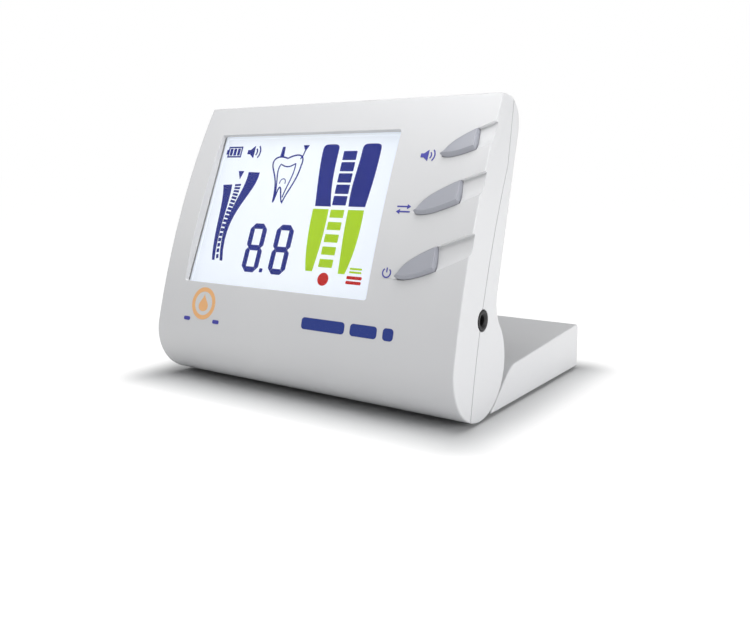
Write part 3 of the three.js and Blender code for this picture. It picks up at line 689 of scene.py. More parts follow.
def seam_region(side):
    """Everything in front of the joint line (side -1) or behind it (side 1)."""
    far = FRONT_R
    radius = FRONT_R - SEAM_DEPTH - side * GAP / 2
    low, high = -2 * BARREL_R, SEAM_BEND
    start = pi - asin((low - front_centre.y) / radius)
    end = pi - asin((high - front_centre.y) / radius)
    bend = front_centre + polar(end, radius)
    outline = Outline((side * far, low)).line(front_centre + polar(start, radius))
    outline.arc(front_centre, end - start, 60)
    outline.line(
        bend + Vector((SEAM_TOP_SLOPE, 1)) * 2 * BARREL_R,
        Vector((side * far, bend.y + 2 * BARREL_R)),
    )
    return outline.solid(-far, far, SIDEWAYS)


def face_frame(x, lean):
    """Touches the front where it leans by this angle: x across, y up the face, z out of it."""
    y = front_centre.x - FRONT_R * cos(lean)
    z = front_centre.y + FRONT_R * sin(lean)
    return Matrix.Translation((x, y, z)) @ Matrix.Rotation(pi / 2 - lean, 4, "X")


def face_frame_at(x, z):
    """The face frame at this height above the hinge axis."""
    return face_frame(x, asin((z - front_centre.y) / FRONT_R))


WINDOW = face_frame(WINDOW_X, WINDOW_LEAN)
SCREWS = face_frame(0, WINDOW_LEAN)


def housing(inset=0, half=HALF):
    return housing_outline(inset).solid(-half, half, SIDEWAYS)


def on_end(edge):
    """Whether an edge lies in the left or the right end."""
    return all(abs(abs(vert.co.x) - HALF) < 0.01 for vert in edge.verts)


def along_top(edge):
    """Whether an edge runs along the housing near its top."""
    first, second = edge.verts
    return min(first.co.z, second.co.z) > 80 and abs(first.co.x - second.co.x) > HALF


def solid_housing():
    """The whole housing, with its ends' rims and its top front corner rounded."""
    body = rounded(housing(), RIM, 60, 4, on_end)
    return rounded(body, RIM, 40, 4, along_top)


def half_shell(side):
    shell = cut(solid_housing(), housing(WALL, INNER_HALF))
    return common(shell, seam_region(side))


# ---- Keys and their hollows --------------------------------------------------------------


def fin_edge(knots, x):
    """Height of a fin's upper or lower edge at a distance from its tip, straight past its end."""
    points = interpolate_bezier(*(Vector((*knot, 0)) for knot in knots), 200)
    after = next((i for i, point in enumerate(points) if point.x >= x and i), len(points) - 1)
    a, b = points[after - 1], points[after]
    return KEY_TIP_Y + a.y + (b.y - a.y) * (x - a.x) / (b.x - a.x)


def fin_points(length, steps=22):
    """The fin from its tip along its lower edge, up its right end and back along its upper edge."""
    reach = [length * (i / steps) ** 2 for i in range(1, steps + 1)]
    lower = [Vector((x, fin_edge(FIN_BOTTOM, x))) for x in reach]
    upper = [Vector((x, fin_edge(FIN_TOP, x))) for x in reversed(reach)]
    return [Vector((0, KEY_TIP_Y)), *lower, *upper]


def grown_points(points, distance):
    """Every corner of a counterclockwise outline moved outwards."""
    result = []
    for i, point in enumerate(points):
        edge_in = (point - points[i - 1]).normalized()
        edge_out = (points[(i + 1) % len(points)] - point).normalized()
        middle = (edge_in + edge_out).normalized()
        stretch = distance / max(0.5, middle.dot(edge_in))
        result.append(point + Vector((middle.y, -middle.x)) * stretch)
    return result


def key_frame(name):
    tip, lean, _ = KEYS[name]
    return face_frame(tip, lean)


def key_well(name):
    points = fin_points(KEYS[name][2] - KEY_END)
    end = len(points) // 2 + 1
    points[end].x -= KEY_SLANT
    points[end].y = fin_edge(FIN_TOP, points[end].x)
    outline = polygon(grown_points(points, KEY_GAP))
    return outline.solid(-2 * WALL, 3 * KEY_PROUD, key_frame(name))


def key_hollow(name):
    """The hollow beside a key: a steep upper wall, and a floor that curves up to a lower lip."""
    start = KEYS[name][2] - KEY_END - KEY_SLANT - HOLLOW_START
    sections = []
    steps = 14
    for i in range(steps + 1):
        x = start + (FIN_END - start) * i / steps
        low, high = fin_edge(FIN_BOTTOM, x), fin_edge(FIN_TOP, x)
        deepest = HOLLOW_DEPTH * (1 + HOLLOW_GROWTH * i / steps)
        floor = []
        for share in range(11):
            depth = deepest * (1 - (1 - share / 10) ** 5)
            floor.append(Vector((x, low + (high - low - 0.1) * share / 10, -depth)))
        lip, wall_top = Vector((x, low - 0.5, HOLLOW_ABOVE)), Vector((x, high, HOLLOW_ABOVE))
        sections.append([lip, *floor, wall_top])
    mesh = lofted(sections)
    mesh.transform(key_frame(name))
    return mesh


def window_block(margin, radius, low, high, matrix=WINDOW):
    """A block in front of the display, larger than the window by this margin all round."""
    outline = rounded_rectangle(WINDOW_W + 2 * margin, WINDOW_H + 2 * margin, radius)
    return outline.solid(low, high, matrix)


def front_cover():
    opening = window_block(0, 1.0, -WINDOW_DEPTH - 0.4, WINDOW_DEPTH, FLAT)
    for vert in opening.verts:
        if vert.co.z > 0:
            flare = OPENING_FLARE * 2 * WINDOW_DEPTH
            vert.co.x += flare if vert.co.x > 0 else -flare
            vert.co.y += flare if vert.co.y > 0 else -flare
    opening.transform(WINDOW)
    lip = window_block(LIP_MARGIN, 2, -LIP_BOTTOM, WINDOW_DEPTH)
    pocket = window_block(POCKET_MARGIN, 1, -POCKET_DEPTH, -LIP_BOTTOM)
    cover = joined(half_shell(-1), common(lip, housing()))
    cover = rounded(cut(cover, pocket, opening, *(key_well(name) for name in KEYS)), EDGE_R)
    return cut(cover, socket_hole(), *(key_hollow(name) for name in KEYS))


def socket_hole():
    return circle(SOCKET_R + GAP, SOCKET_Y, SOCKET_Z).solid(INNER_HALF - 1, HALF + 1, SIDEWAYS)


# ---- Rear cover --------------------------------------------------------------------------

BACK = Matrix(
    (
        (-1, 0, 0, 0),
        (0, back_up.x, back_normal.x, 0),
        (0, back_up.y, back_normal.y, 0),
        (0, 0, 0, 1),
    )
)


def arm_slot(side):
    outline = Outline(ORIGIN).line(polar(ARM_ANGLE - SLOT_MARGIN, 2 * BARREL_R))
    outline.arc(ORIGIN, FOLD + 2 * SLOT_MARGIN, 40)
    half = ARM_W / 2 + SLOT_CLEAR
    return outline.solid(side * ARM_X - half, side * ARM_X + half, SIDEWAYS)


def across_arm(radius, side):
    """A round rod along the hinge axis, through one arm and the ribs beside it."""
    return circle(radius).solid(side * ARM_X - ARM_W, side * ARM_X + ARM_W, SIDEWAYS)


def screw_seat(y):
    return UPPER_SEAT if y > 0 else LOWER_SEAT


def rear_cover():
    cover = half_shell(1)
    for side in (-1, 1):
        for edge in (-1, 1):
            middle = side * ARM_X + edge * (ARM_W / 2 + SLOT_CLEAR + RIB_T / 2)
            rib = circle(RIB_R, steps=60).solid(middle - RIB_T / 2, middle + RIB_T / 2, SIDEWAYS)
            cover = joined(cover, common(common(rib, seam_region(1)), housing()))
    for x, y in COVER_SCREWS:
        boss = circle(BOSS_R, x, y).solid(PAST_BACK, -1, SCREWS)
        cover = joined(cover, common(common(boss, seam_region(1)), housing()))
    for side in (-1, 1):
        seat = circle(BUMPER_R + GAP, side * BUMPER_X, BUMPER_UP)
        seat = seat.solid(BACK_OFFSET - 0.8, BACK_OFFSET + 1, BACK)
        cover = cut(cover, arm_slot(side), across_arm(BOLT_R + GAP, side), seat)
    for x, y in COVER_SCREWS:
        shank = circle(SHANK_HOLE_R, x, y, 20).solid(PAST_BACK, -4, SCREWS)
        head = circle(HEAD_HOLE_R, x, y).solid(PAST_BACK, screw_seat(y), SCREWS)
        cover = cut(cover, shank, head)
    return cut(rounded(cover, EDGE_R), socket_hole())


# ---- Keys --------------------------------------------------------------------------------


def key_shape(name):
    """A wedge-shaped fin: level with the face along its upper edge, proud along its lower one."""
    length = KEYS[name][2]
    foot_end = length - KEY_END
    sections = []
    steps = 26
    for i in range(steps + 1):
        share = 0.008 + 0.992 * (i / steps) ** 2
        foot = foot_end * share
        foot_top = (foot_end - KEY_SLANT) * share
        middle = (foot_end - 0.3) * share
        crest = (foot_end - 0.6) * share
        upper = (foot_end - KEY_SLANT - 0.35) * share
        band = min(0.95, 0.45 * (fin_edge(FIN_TOP, crest) - fin_edge(FIN_BOTTOM, crest)))
        sections.append(
            [
                Vector((foot, fin_edge(FIN_BOTTOM, foot), KEY_DEEP)),
                Vector((foot, fin_edge(FIN_BOTTOM, foot), -HOLLOW_DEPTH)),
                Vector((middle, fin_edge(FIN_BOTTOM, middle), 0)),
                Vector((crest, fin_edge(FIN_BOTTOM, crest) + band, KEY_PROUD)),
                Vector((upper, fin_edge(FIN_TOP, upper), KEY_UPPER)),
                Vector((foot_top, fin_edge(FIN_TOP, foot_top), -HOLLOW_DEPTH)),
                Vector((foot_top, fin_edge(FIN_TOP, foot_top), KEY_DEEP)),
            ]
        )
    fin = lofted(sections)
    fin.verts.ensure_lookup_table()
    above_low, above_high = fin.verts[-6], fin.verts[-2]
    end = next(face for face in above_low.link_faces if above_high in face.verts)
    bmesh.utils.face_split(end, above_low, above_high)
    bmesh.ops.triangulate(fin, faces=[face for face in fin.faces if len(face.verts) > 4])
    flange_top = -WALL - GAP - 0.1
    flange = polygon(grown_points(fin_points(length), KEY_FLANGE)).solid(flange_top - 1, flange_top)
    stem = circle(KEY_STEM_R, length * 0.62, KEY_TIP_Y + 5)
    key = joined(fin, flange, stem.solid(flange_top - 3.2, flange_top - 0.5))
    key.transform(key_frame(name))
    return rounded(key, KEY_EDGE_R)


# ---- Base --------------------------------------------------------------------------------


def top_height(y, inset=0):
    return (-BASE_TOP_OFFSET - inset + sin(BASE_SLOPE) * y) / cos(BASE_SLOPE)


def corner_arc(outline, before, corner, after, radius, steps):
    """Draws up to a rounded corner and round it."""
    to_before = (before - corner).normalized()
    to_after = (after - corner).normalized()
    half = acos(to_before.dot(to_after)) / 2
    centre = corner + (to_before + to_after).normalized() * radius / sin(half)
    start = corner + to_before * radius / tan(half)
    outline.line(start).arc(centre, pi - 2 * half, steps)


def base_outline(inset=0):
    """Nose, bottom, rear, top, shoulder, ramp and cradle, counterclockwise."""
    ramp_foot = polar(CRADLE_END, CRADLE_R) + polar(RAMP_SLOPE - pi / 2, inset)
    ramp = polar(RAMP_SLOPE, 1)
    slope = polar(BASE_SLOPE, 1)
    start = Vector((0, top_height(0, inset)))
    shoulder = ramp_foot + ramp * ((start - ramp_foot).cross(slope) / ramp.cross(slope))
    rear = BASE_REAR - inset
    rear_top = Vector((rear, top_height(rear, inset)))
    bottom = BASE_BOTTOM - (10 if inset else 0)
    radius = CRADLE_R + inset
    cradle_foot = asin(BASE_BOTTOM / radius) if inset else -acos(NOSE / radius)
    nose = polar(cradle_foot, radius)
    outline = Outline((nose.x, bottom)).line((rear, bottom))
    corner_arc(outline, Vector((rear, bottom)), rear_top, shoulder, 1.5, 8)
    corner_arc(outline, rear_top, shoulder, ramp_foot, 9, 10)
    return outline.line(ramp_foot).arc(ORIGIN, cradle_foot - angle_of(ramp_foot), 16)


def base_arm(side):
    along, across = polar(ARM_ANGLE, 1), polar(ARM_ANGLE + pi / 2, ARM_T / 2)
    tip = along * ARM_REACH
    low, high = side * ARM_X - ARM_W / 2, side * ARM_X + ARM_W / 2
    bar = polygon([-across, tip - across, tip + across, across]).solid(low, high, SIDEWAYS)
    return joined(bar, circle(EYE_R, steps=60).solid(low, high, SIDEWAYS))


def base_top_cover():
    outer = base_outline().solid(-HALF, HALF, SIDEWAYS)
    rounded(outer, RIM, 60, 4, on_end)
    cover = cut(outer, base_outline(WALL).solid(-INNER_HALF, INNER_HALF, SIDEWAYS))
    for side in (-1, 1):
        cover = cut(joined(cover, base_arm(side)), across_arm(BUSH_R + GAP, side))
    return rounded(cover, BASE_EDGE_R)


# ---- Small parts -------------------------------------------------------------------------


def dome(radius, low, high, edge, steps=6):
    """A round pad from low up to a softly rounded top at high, as a profile."""
    turns = [i / steps * pi / 2 for i in range(steps + 1)]
    bend = [(radius - edge + edge * cos(turn), high - edge + edge * sin(turn)) for turn in turns]
    return [(0, low), (radius, low), *bend, (0, high)]


SOCKET_PLACE = Matrix.Translation((0, SOCKET_Y, SOCKET_Z)) @ SIDEWAYS


def probe_socket():
    """A round nose with a countersunk bore, on a wider body inside the housing."""
    mouth = HALF + SOCKET_PROUD
    profile = [
        (0, HALF - SOCKET_BODY),
        (SOCKET_BODY_R, HALF - SOCKET_BODY),
        (SOCKET_BODY_R, INNER_HALF - GAP),
        (SOCKET_R, INNER_HALF - GAP),
        (SOCKET_R, mouth - 0.25),
        (SOCKET_R - 0.1, mouth - 0.07),
        (SOCKET_R - 0.3, mouth),
        (2.5, mouth),
        (2.3, mouth - 0.1),
        (BORE_R, mouth - 0.7),
        (BORE_R, HALF - BORE_DEPTH),
        (0, HALF - BORE_DEPTH),
    ]
    return turned(profile, 56, SOCKET_PLACE)


def socket_contact():
    """The sprung metal sleeve inside the socket."""
    inner, outer, back, front = 1.35, 1.75, HALF - 12, HALF - 4.3
    profile = [(inner, back), (outer, back), (outer, front), (1.55, HALF - 4), (inner, front)]
    mesh = bmesh.new()
    verts = [mesh.verts.new((radius, 0, height)) for radius, height in profile]
    edges = [mesh.edges.new(pair) for pair in zip(verts, verts[1:] + verts[:1])]
    full_turn(mesh, verts + edges, 32)
    bmesh.ops.recalc_face_normals(mesh, faces=mesh.faces[:])
    mesh.transform(SOCKET_PLACE)
    return mesh


def screw(size, x, y, z, matrix=FLAT):
    """A pan-head screw whose head faces down from height z, with a cross recess."""
    head_r, head_h, shank_r, length = size
    turns = [i * pi / 16 for i in range(1, 9)]
    crown = [(head_r * sin(turn), head_h * 0.45 * (1 - cos(turn))) for turn in turns]
    end = head_h + length
    profile = [(0, 0), *crown, (head_r, head_h), (shank_r, head_h), (shank_r, end), (0, end)]
    arm, half = 0.6 * head_r, 0.16 * head_r
    cross = [(arm, -half), (arm, half), (half, half), (half, arm), (-half, arm), (-half, half)]
    cross += [(-x, -y) for x, y in cross]
    body = cut(turned(profile, 32), polygon(cross).solid(-1, 0.6 * head_h))
    body.transform(matrix @ Matrix.Translation((x, y, z)))
    return body


def bay_outline(margin):
    half = BAY_HALF + margin
    front, rear = CELL_FRONT - margin, CELL_REAR + margin
    return polygon([(-half, front), (half, front), (half, rear), (-half, rear)])


def door_outline(shrink):
    half = BAY_HALF + DOOR_LAP - shrink
    front, rear = CELL_FRONT - DOOR_TAB + shrink, CELL_REAR + 1.2 - shrink
    return rounded_rectangle(2 * half, rear - front, 1.5, 0, (front + rear) / 2)


def base_bottom_cover():
    front, rear = 14.4, BASE_REAR - WALL - GAP
    top = BASE_BOTTOM + PLATE_T
    wall_top = top_height(CELL_FRONT - 2, WALL) - GAP
    plate = rounded_rectangle(2 * INNER_HALF - 2 * GAP, rear - front, 1, 0, (front + rear) / 2)
    cover = joined(plate.solid(BASE_BOTTOM, top), bay_outline(BAY_WALL).solid(top - 0.5, wall_top))
    cover = joined(cover, circle(2.6, 0, DOOR_SCREW_Y).solid(top - 0.5, wall_top))
    cover = cut(cover, bay_outline(0).solid(BASE_BOTTOM - 1, 0))
    cover = cut(cover, door_outline(0).solid(BASE_BOTTOM - 1, BASE_BOTTOM + DOOR_T + GAP))
    cover = cut(cover, circle(1.4, 0, DOOR_SCREW_Y).solid(BASE_BOTTOM, wall_top - 1.5))
    for x, y in BASE_SCREWS:
        cover = cut(cover, circle(SHANK_HOLE_R, x, y, 24).solid(BASE_BOTTOM - 1, top + 1))
        cover = cut(cover, circle(HEAD_HOLE_R, x, y).solid(BASE_BOTTOM - 1, BASE_BOTTOM + 1.4))
    for x, y in FEET:
        cover = cut(cover, circle(FOOT_R + GAP, x, y).solid(BASE_BOTTOM - 1, BASE_BOTTOM + FOOT_SEAT))
    return rounded(cover, EDGE_R, segments=2)


def battery_door():
    """The door's plate, with a hole for its screw and a row of grip grooves on either side."""
    door = cut(
        door_outline(GAP).solid(BASE_BOTTOM, BASE_BOTTOM + DOOR_T),
        circle(1.4, 0, DOOR_SCREW_Y).solid(BASE_BOTTOM - 1, 0),
    )
    for side in (-1, 1):
        for i in range(5):
            groove = rounded_rectangle(14, 0.9, 0.44, side * 16, CELL_FRONT - 4.6 + 2 * i)
            door = cut(door, groove.solid(BASE_BOTTOM - 1, BASE_BOTTOM + 0.5))
    return rounded(door, EDGE_R, segments=2)


def window_plate():
    plate = window_block(PLATE_MARGIN, 1, -WINDOW_DEPTH - WINDOW_T, -WINDOW_DEPTH)
    return rounded(plate, 0.1, 60, 2)


def painted_glow_surround():
    """A frame in the display's glowing material, put in the gap between the window and the edges of
    the display: painted light over the shade there.
    """
    top = -WINDOW_DEPTH - WINDOW_T - SURROUND_GAP
    outer = window_block(SURROUND_OUT, 0.5, -LCD_DEPTH + SURROUND_GAP, top)
    return cut(outer, window_block(-SURROUND_IN, 0.5, -LCD_DEPTH - 1, 0))


# ---- Display artwork and prints ----------------------------------------------------------

# Display shapes lie on the panel, in x and y from the middle of the window. Prints lie on the
# housing's face. Both are as thick as ink.


def curve_points(knots, count=14):
    knots = [Vector((*knot, 0)) for knot in knots]
    return [point.xy for point in interpolate_bezier(*knots, count)]


def curve_chain(knots):
    """Curves that follow on from one another, with three more knots for every curve."""
    points = curve_points(knots[:4])
    for i in range(3, len(knots) - 1, 3):
        points += curve_points(knots[i : i + 4])[1:]
    return points


def between_curves(first, second):
    """The area between two curves that run the same way."""
    return polygon(curve_points(first) + curve_points(second)[::-1])


def stroke(points, width):
    """A line of this width through the points, square at its ends."""
    points = [Vector(point) for point in points]
    left, right = [], []
    for i, point in enumerate(points):
        before, after = points[max(0, i - 1)], points[min(len(points) - 1, i + 1)]
        along = (after - before).normalized()
        side = Vector((-along.y, along.x)) * width / 2
        left.append(point + side)
        right.append(point - side)
    return polygon(right + left[::-1])


def digit_eight(x, y, width, height, bar):
    """A seven-segment eight, with a hairline between each segment and the next."""
    inner, gap = bar / 2, 0.05
    rise = (height - bar) / 2
    run = width - bar
    shapes = []
    for level in (-1, 0, 1):
        centre = (x, y + level * rise)
        shapes.append(segment(centre, run / 2 - gap, inner, False))
    for side in (-1, 1):
        for level in (-0.5, 0.5):
            centre = (x + side * run / 2, y + level * rise)
            shapes.append(segment(centre, rise / 2 - gap, inner, True))
    return shapes


def segment(centre, reach, half, upright):
    """A bar with pointed ends."""
    corners = [(-reach, 0), (half - reach, -half), (reach - half, -half), (reach, 0)]
    corners += [(reach - half, half), (half - reach, half)]
    if upright:
        corners = [(-b, a) for a, b in corners]
    return polygon([(centre[0] + a, centre[1] + b) for a, b in corners])


def battery_icon(x, y):
    shapes = [
        stroke([(x - 3.4, y - 2), (x + 3.4, y - 2)], 0.6),
        stroke([(x - 3.4, y + 2), (x + 3.4, y + 2)], 0.6),
        stroke([(x - 3.4, y - 2.3), (x - 3.4, y + 2.3)], 0.6),
        stroke([(x + 3.4, y - 2.3), (x + 3.4, y + 2.3)], 0.6),
        rounded_rectangle(0.8, 2, 0.2, x - 4.1, y),
    ]
    shapes += [rounded_rectangle(1.4, 2.9, 0.15, x - 2 + 2 * i, y) for i in range(3)]
    return shapes


def speaker_icon(x, y, size):
    """A loudspeaker with two sound waves."""
    horn = [(-3.4, -0.9), (-2, -0.9), (0.2, -2.6), (0.2, 2.6), (-2, 0.9), (-3.4, 0.9)]
    shapes = [polygon([(x + size * a, y + size * b) for a, b in horn])]
    middle = Vector((x - 0.4 * size, y))
    for radius in (2, 3.6):
        wave = [polar(radians(angle), radius * size) + middle for angle in range(-42, 43, 12)]
        shapes.append(stroke(wave, 0.6 * size))
    return shapes


def power_icon(x, y, size):
    ring = [polar(radians(angle), size) + Vector((x, y)) for angle in range(125, 416, 15)]
    bar = [(x, y + 0.1 * size), (x, y + 1.15 * size)]
    return [stroke(ring, 0.3 * size), stroke(bar, 0.3 * size)]


def mode_icon(x, y, size):
    """Two arrows that point opposite ways."""
    shapes = []
    for side in (-1, 1):
        level = y + side * 0.55 * size
        tip = x + side * 1.7 * size
        neck = tip - side * 0.9 * size
        shapes.append(stroke([(x - side * 1.6 * size, level), (neck, level)], 0.3 * size))
        head = [(neck, level - 0.55 * size), (tip, level), (neck, level + 0.55 * size)]
        shapes.append(polygon(head if side > 0 else head[::-1]))
    return shapes


def tooth_drawing():
    """A molar in outline, with its pulp, a file in one root and a lip hook on its crown."""
    crown = [(-10.4, 3.4), (-10.6, 11), (-12, 13), (-14, 16.6), (-16.4, 20.8), (-12.8, 22.6)]
    crown += [(-8, 20.9), (-4, 22.9), (0.6, 23), (-0.8, 18), (-1.2, 12), (-4.4, 8.6)]
    crown += [(-6, 3.2), (-7.6, 6), (-7.6, 9), (-8.6, 9.4), (-9.6, 9), (-9.4, 6), (-10.4, 3.4)]
    pulp = [(-9.9, 5.4), (-10.2, 12), (-12.6, 16), (-10.6, 18.6), (-8, 17.2), (-6, 17.2)]
    pulp += [(-3.6, 18.9), (-3, 14), (-5.6, 10), (-6.3, 5.4)]
    ridge = curve_points([(-9.2, 10.8), (-9.4, 13.4), (-6, 13.4), (-6.6, 10.8)])
    hook = [(-0.4, 24.2), (-0.9, 22.2), (-1.9, 20.6)]
    return [
        stroke(curve_chain(crown), 0.6),
        stroke(curve_chain(pulp), 0.5),
        stroke(ridge, 0.36),
        polygon([(-12.1, 21.6), (-10.2, 21.6), (-10.5, 25.6), (-11.8, 25.6)]),
        stroke(hook, 0.5),
        polygon([(-0.4, 23.6), (1.1, 26.1), (-1.8, 26.1)]),
    ]


def curved_canal():
    """The small canal at the left: two thick walls with a file of short steps between them."""
    shapes = [
        between_curves(
            [(-38, 10), (-35, 2), (-36.9, -9), (-33.8, -20.4)],
            [(-33.3, 10.2), (-32.2, 2), (-34.8, -9), (-32.5, -20.4)],
        ),
        between_curves(
            [(-26.2, 15.4), (-25.5, 6), (-35.6, -2), (-29.7, -20.4)],
            [(-20.4, 15.2), (-20.2, 5.5), (-34.4, -1), (-28.3, -20.4)],
        ),
        polygon([(-31.6, 15.8), (-30, 12.4), (-28.7, 15.8)]),
    ]
    middle = curve_points([(-30.2, 10.4), (-29.4, 3), (-35.0, -6), (-31.1, -20.4)], 19)
    for i, (start, end) in enumerate(zip(middle, middle[1:])):
        shapes.append(stroke([start, start.lerp(end, 0.66)], 3.0 - 0.11 * i))
    return shapes


def blocks(top, pitch, height, count=5):
    """The column of blocks in the middle of the large canal."""
    middles = [top - height / 2 - i * pitch for i in range(count)]
    return [rounded_rectangle(5.9, height, 0.25, 20.5, middle) for middle in middles]


def navy_shapes():
    shapes = [
        *battery_icon(-36.2, 23.8),
        *speaker_icon(-26, 23.7, 1),
        *tooth_drawing(),
        *curved_canal(),
        *digit_eight(-13.8, -14.4, 8.1, 18.7, 2.1),
        *digit_eight(-0.9, -14.4, 8.1, 18.7, 2.1),
        rounded_rectangle(1.5, 1.5, 0.3, -8.1, -22.7),
        *blocks(23.5, 4.25, 3.45),
    ]
    shapes.append(canal_wall(7.9, 15.1, 10.1, 17.1, 26.2, 2.5))
    shapes.append(canal_wall(25.5, 33.4, 24.8, 31.8, 26.2, 2.7))
    return shapes


def canal_wall(left, right, left_foot, right_foot, top, foot):
    """One wall of the large canal: a round shoulder, and sides that close in towards its foot."""
    middle, right_end, left_end = (left + right) / 2, top - 2, top - 2.4
    rise = [(right_foot, foot), (right - 0.4, foot + 9), (right, top - 8), (right, right_end)]
    right_bend = [(right, right_end), (right, top), (right - 1, top), (middle, top)]
    left_bend = [(middle, top), (left + 1, top), (left, top), (left, left_end)]
    fall = [(left, left_end), (left, top - 9), (left_foot - 1, foot + 8), (left_foot, foot)]
    points = [(left_foot, foot), (right_foot, foot)]
    points += curve_points(rise)[1:]
    points += curve_points(right_bend, 7)[1:]
    points += curve_points(left_bend, 7)[1:]
    points += curve_points(fall)[1:-1]
    return polygon(points)


def green_shapes():
    walls = []
    for left, right, foot_left, foot_right in ((9.5, 16.5, 12.4, 15.3), (25, 31.7, 26.5, 29.3)):
        walls.append(
            between_curves(
                [(left, 1.5), (left, -8), (left + 1.2, -16), (foot_left, -21.3)],
                [(right, 1.5), (right + 0.4, -8), (right - 0.4, -15), (foot_right, -21.3)],
            )
        )
    marks = [rounded_rectangle(5, 0.7, 0.3, 33.6, -19.2 - 1.2 * i) for i in range(2)]
    return walls + blocks(1.4, 4.5, 2.95) + marks


def red_shapes():
    marks = [rounded_rectangle(6.2, 1.1, 0.35, 33.6, -22.3 - 1.7 * i) for i in range(2)]
    return [circle(2.3, 20.8, -23.7), *marks]


def ink(shapes, low, thick, matrix):
    """Flat outlines as one thin layer."""
    return together(*(shape.solid(low, low + thick, matrix) for shape in shapes))


def name_print():
    """Two plain bars and a dot in the place of a printed name."""
    return [
        rounded_rectangle(18, 4, 1.2, 14.5, 0),
        rounded_rectangle(10.5, 4, 1.2, 31, 0),
        rounded_rectangle(4, 4, 1.2, 40.5, 0),
    ]


def side_marks():
    """The two short bars below the emblem, one on either side."""
    return [rounded_rectangle(3.2, 1.4, 0.6, side * 7.5, -6.2) for side in (-1, 1)]


def emblem():
    """A plain ring with a drop in it."""
    ring = [polar(radians(angle), 5.2) for angle in range(0, 361, 10)]
    drop = curve_points([(0, 3.6), (0.4, 1.6), (2.4, 0.4), (2.4, -1)], 9)
    drop += curve_points([(2.4, -1), (2.4, -3.6), (-2.4, -3.6), (-2.4, -1)], 12)[1:]
    drop += curve_points([(-2.4, -1), (-2.4, 0.4), (-0.4, 1.6), (0, 3.6)], 9)[1:-1]
    return [stroke(ring, 1.6), polygon(drop[::-1])]


# ---- Making the pieces -------------------------------------------------------------------

finish(front_cover(), "front_shell", "screen", WHITE, ["front_cover"])
finish(rear_cover(), "rear_shell", "screen", WHITE, ["rear_cover"])
finish(base_top_cover(), "base_shell", "base", WHITE, ["base_top_cover"])
finish(base_bottom_cover(), "base_plate", "base", WHITE, ["base_bottom_cover"])
finish(battery_door(), "battery_hatch", "base", WHITE, ["battery_door"])
for key_name in KEYS:
    key_part = f"{key_name}_key"
    finish(key_shape(key_name), f"{key_name}_fin", key_part, KEY_GREY, [key_part])

finish(window_plate(), "window_plate", "screen", ACRYLIC, ["screen_window"])
# The surround glows though it is no lamp: painted light over the shade in the gap around the display.
finish(painted_glow_surround(), "painted_glow_surround", "screen", DISPLAY)
finish(probe_socket(), "socket_body", "screen", BLACK, ["probe_socket"])
finish(socket_contact(), "socket_contact", "screen", STEEL)

for number, (x, y) in enumerate(COVER_SCREWS, 1):
    head = screw(COVER_SCREW, x, y, screw_seat(y) - 1.9, SCREWS)
    finish(head, f"cover_screw_head_{number}", "screen", STEEL, [f"cover_screw_{number}"])
for number, (x, y) in enumerate(BASE_SCREWS, 1):
    head = screw(BASE_SCREW, x, y, BASE_BOTTOM + 0.1)
    finish(head, f"base_screw_head_{number}", "base", STEEL, [f"base_screw_{number}"])
door_screw = screw(DOOR_SCREW, 0, DOOR_SCREW_Y, BASE_BOTTOM - 1)
finish(door_screw, "door_screw_head", "base", STEEL, ["door_screw"])

for number, (x, y) in enumerate(FEET, 1):
    over = Matrix.Translation((x, y, BASE_BOTTOM + PAD_SUNK)) @ Matrix.Rotation(pi, 4, "X")
    foot = turned(dome(FOOT_R, 0, BASE_BOTTOM + PAD_SUNK - TABLE, PAD_EDGE), 48, over)
    finish(foot, f"foot_pad_{number}", "base", RUBBER, [f"foot_{number}"])
for side, side_name in ((-1, "left"), (1, "right")):
    place = BACK @ Matrix.Translation((-side * BUMPER_X, BUMPER_UP, 0))
    profile = dome(BUMPER_R, BACK_OFFSET - PAD_SUNK, BACK_OFFSET + BUMPER_PROUD, PAD_EDGE)
    bumper = turned(profile, 40, place)
    finish(bumper, f"bumper_pad_{side_name}", "screen", RUBBER, [f"bumper_{side_name}"])

for ink_name, shapes, material in (
    ("navy_segments", navy_shapes(), NAVY),
    ("green_segments", green_shapes(), GREEN),
    ("red_segments", red_shapes(), RED),
):
    segments = ink(shapes, -LCD_DEPTH, SEGMENT_T, WINDOW)
    finish(segments, ink_name, "screen", material)

NAME_PLACE = face_frame_at(0, 10)
EMBLEM_PLACE = face_frame_at(-42, 12)
for print_name, shapes, material, place in (
    ("name_print", name_print(), BLUE_PRINT, NAME_PLACE),
    ("emblem_print", emblem(), ORANGE_PRINT, EMBLEM_PLACE),
    ("mark_print", side_marks(), VIOLET_PRINT, EMBLEM_PLACE),
):
    layer = ink(shapes, -PRINT_SUNK, PRINT_T, place)
    finish(layer, print_name, "screen", material)
for icon_name, icon in (
    ("volume", speaker_icon(-5.2, -5.2, 0.8)),
    ("mode", mode_icon(-4.5, -4.2, 1.6)),
    ("power", power_icon(-3.7, -4.1, 1.5)),
):
    layer = ink(icon, -ICON_SUNK, ICON_T, key_frame(icon_name))
    finish(layer, f"{icon_name}_print", "screen", VIOLET_PRINT)

# ---- Stage -------------------------------------------------------------------------------


# Half the width and half the depth that the object takes on the floor.
FOOTPRINT = (HALF * MM, 51.1 * MM, 0)


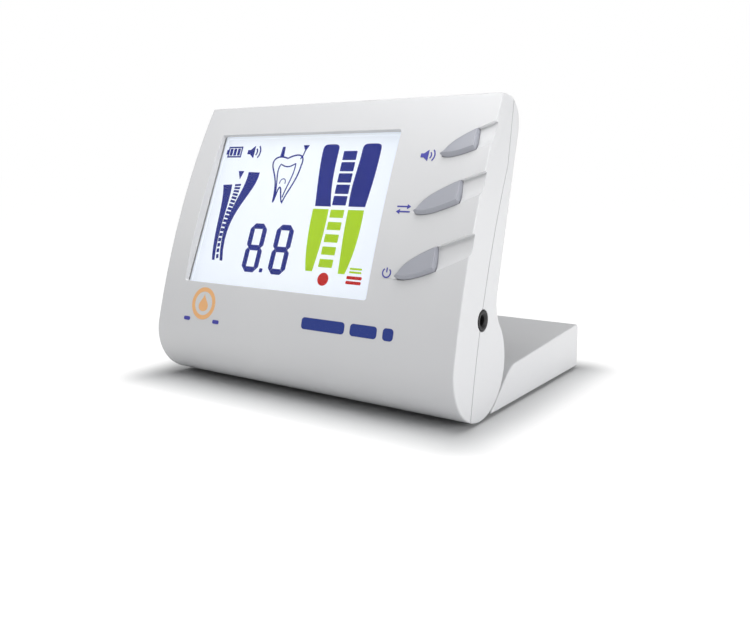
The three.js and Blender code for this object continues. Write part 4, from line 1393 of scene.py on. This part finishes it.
def stage():
    """A floor painted darker close to the object, as painted shade round its contact shadow, that
    glows white further away.
    """
    floor = bmesh.new()
    bmesh.ops.create_circle(floor, cap_ends=True, segments=96, radius=6)
    data = bpy.data.meshes.new("floor")
    floor.to_mesh(data)
    floor.free()
    made = Finish("floor_paint", Roughness=0.9, Specular_IOR_Level=0.1)
    side = made.node("VectorMath", {"operation": "ABSOLUTE"}, {0: made.place()})
    past = made.node("VectorMath", {"operation": "SUBTRACT"}, {0: side, 1: FOOTPRINT})
    outside = made.node("VectorMath", {"operation": "MAXIMUM"}, {0: past, 1: (0, 0, 0)})
    away = made.node("VectorMath", {"operation": "LENGTH"}, {0: outside}, output=1)
    # Painted shade: close to the object the floor is darker and does not glow; further out it glows
    # white.
    painted_glow_share = away.between(0.0, 0.022)
    made.set("Base Color", made.mix(painted_glow_share, (0.66, 0.665, 0.67), (0.15, 0.15, 0.15)))
    made.set("Emission Color", made.mix(painted_glow_share, (0.0, 0.0, 0.0), (0.97, 0.97, 0.97)))
    made.set("Emission Strength", 1.0)
    data.materials.append(made.material)
    piece = bpy.data.objects.new("floor", data)
    bpy.context.scene.collection.objects.link(piece)


def softbox(name, place, target, size, power):
    light = bpy.data.lights.new(name, "AREA")
    light.shape = "RECTANGLE"
    light.size, light.size_y = size
    light.energy = power
    lamp = bpy.data.objects.new(name, light)
    lamp.location = place
    lamp.rotation_euler = (Vector(target) - Vector(place)).to_track_quat("-Z", "Y").to_euler()
    bpy.context.scene.collection.objects.link(lamp)


def studio_walls(seen, above, below):
    """White walls: seen is how bright they look, the others how much light comes from them."""
    world = bpy.data.worlds.new("studio")
    bpy.context.scene.world = world
    world.use_nodes = True
    made = Nodes(world.node_tree)
    direction = made.node("TexCoord", output="Generated")
    height = made.node("SeparateXYZ", None, {0: direction}, output=2)
    given = below + (above - below) * height.between(-0.1, 0.3)
    looks = made.node("LightPath", output="Is Camera Ray")
    background = world.node_tree.nodes["Background"]
    background.inputs["Color"].default_value = (1, 1, 1, 1)
    made.feed(background.inputs["Strength"], seen * looks + given * (1 - looks))


def camera():
    """Right of the front, a little above, with the vertical shift of the framing."""
    data = bpy.data.cameras.new("camera")
    data.lens = 38.06
    data.sensor_width = 36
    data.shift_x = 0.0068
    data.shift_y = -0.110
    data.clip_start = 0.01
    view = bpy.data.objects.new("camera", data)
    view.location = (0.1753, -0.2554, 0.0803)
    view.rotation_euler = (radians(90 - 4.68), 0, radians(34.62))
    bpy.context.scene.collection.objects.link(view)
    bpy.context.scene.camera = view


stage()
softbox("top_softbox", (0.04, -0.09, 0.34), (0.0, -0.01, 0.07), (0.35, 0.25), 0.95)
softbox("right_softbox", (0.78, 0.0, 0.15), (0, 0, 0.05), (0.5, 0.5), 3.7)
softbox("back_light", (0.1, 0.75, 0.55), (0, 0, 0.05), (0.7, 0.5), 0.25)
softbox("front_fill", (-0.5, -0.45, 0.4), (0, 0, 0.05), (0.4, 0.3), 0.42)
studio_walls(1.0, 0.17, 0.05)
camera()
bpy.context.scene.view_settings.view_transform = "Standard"
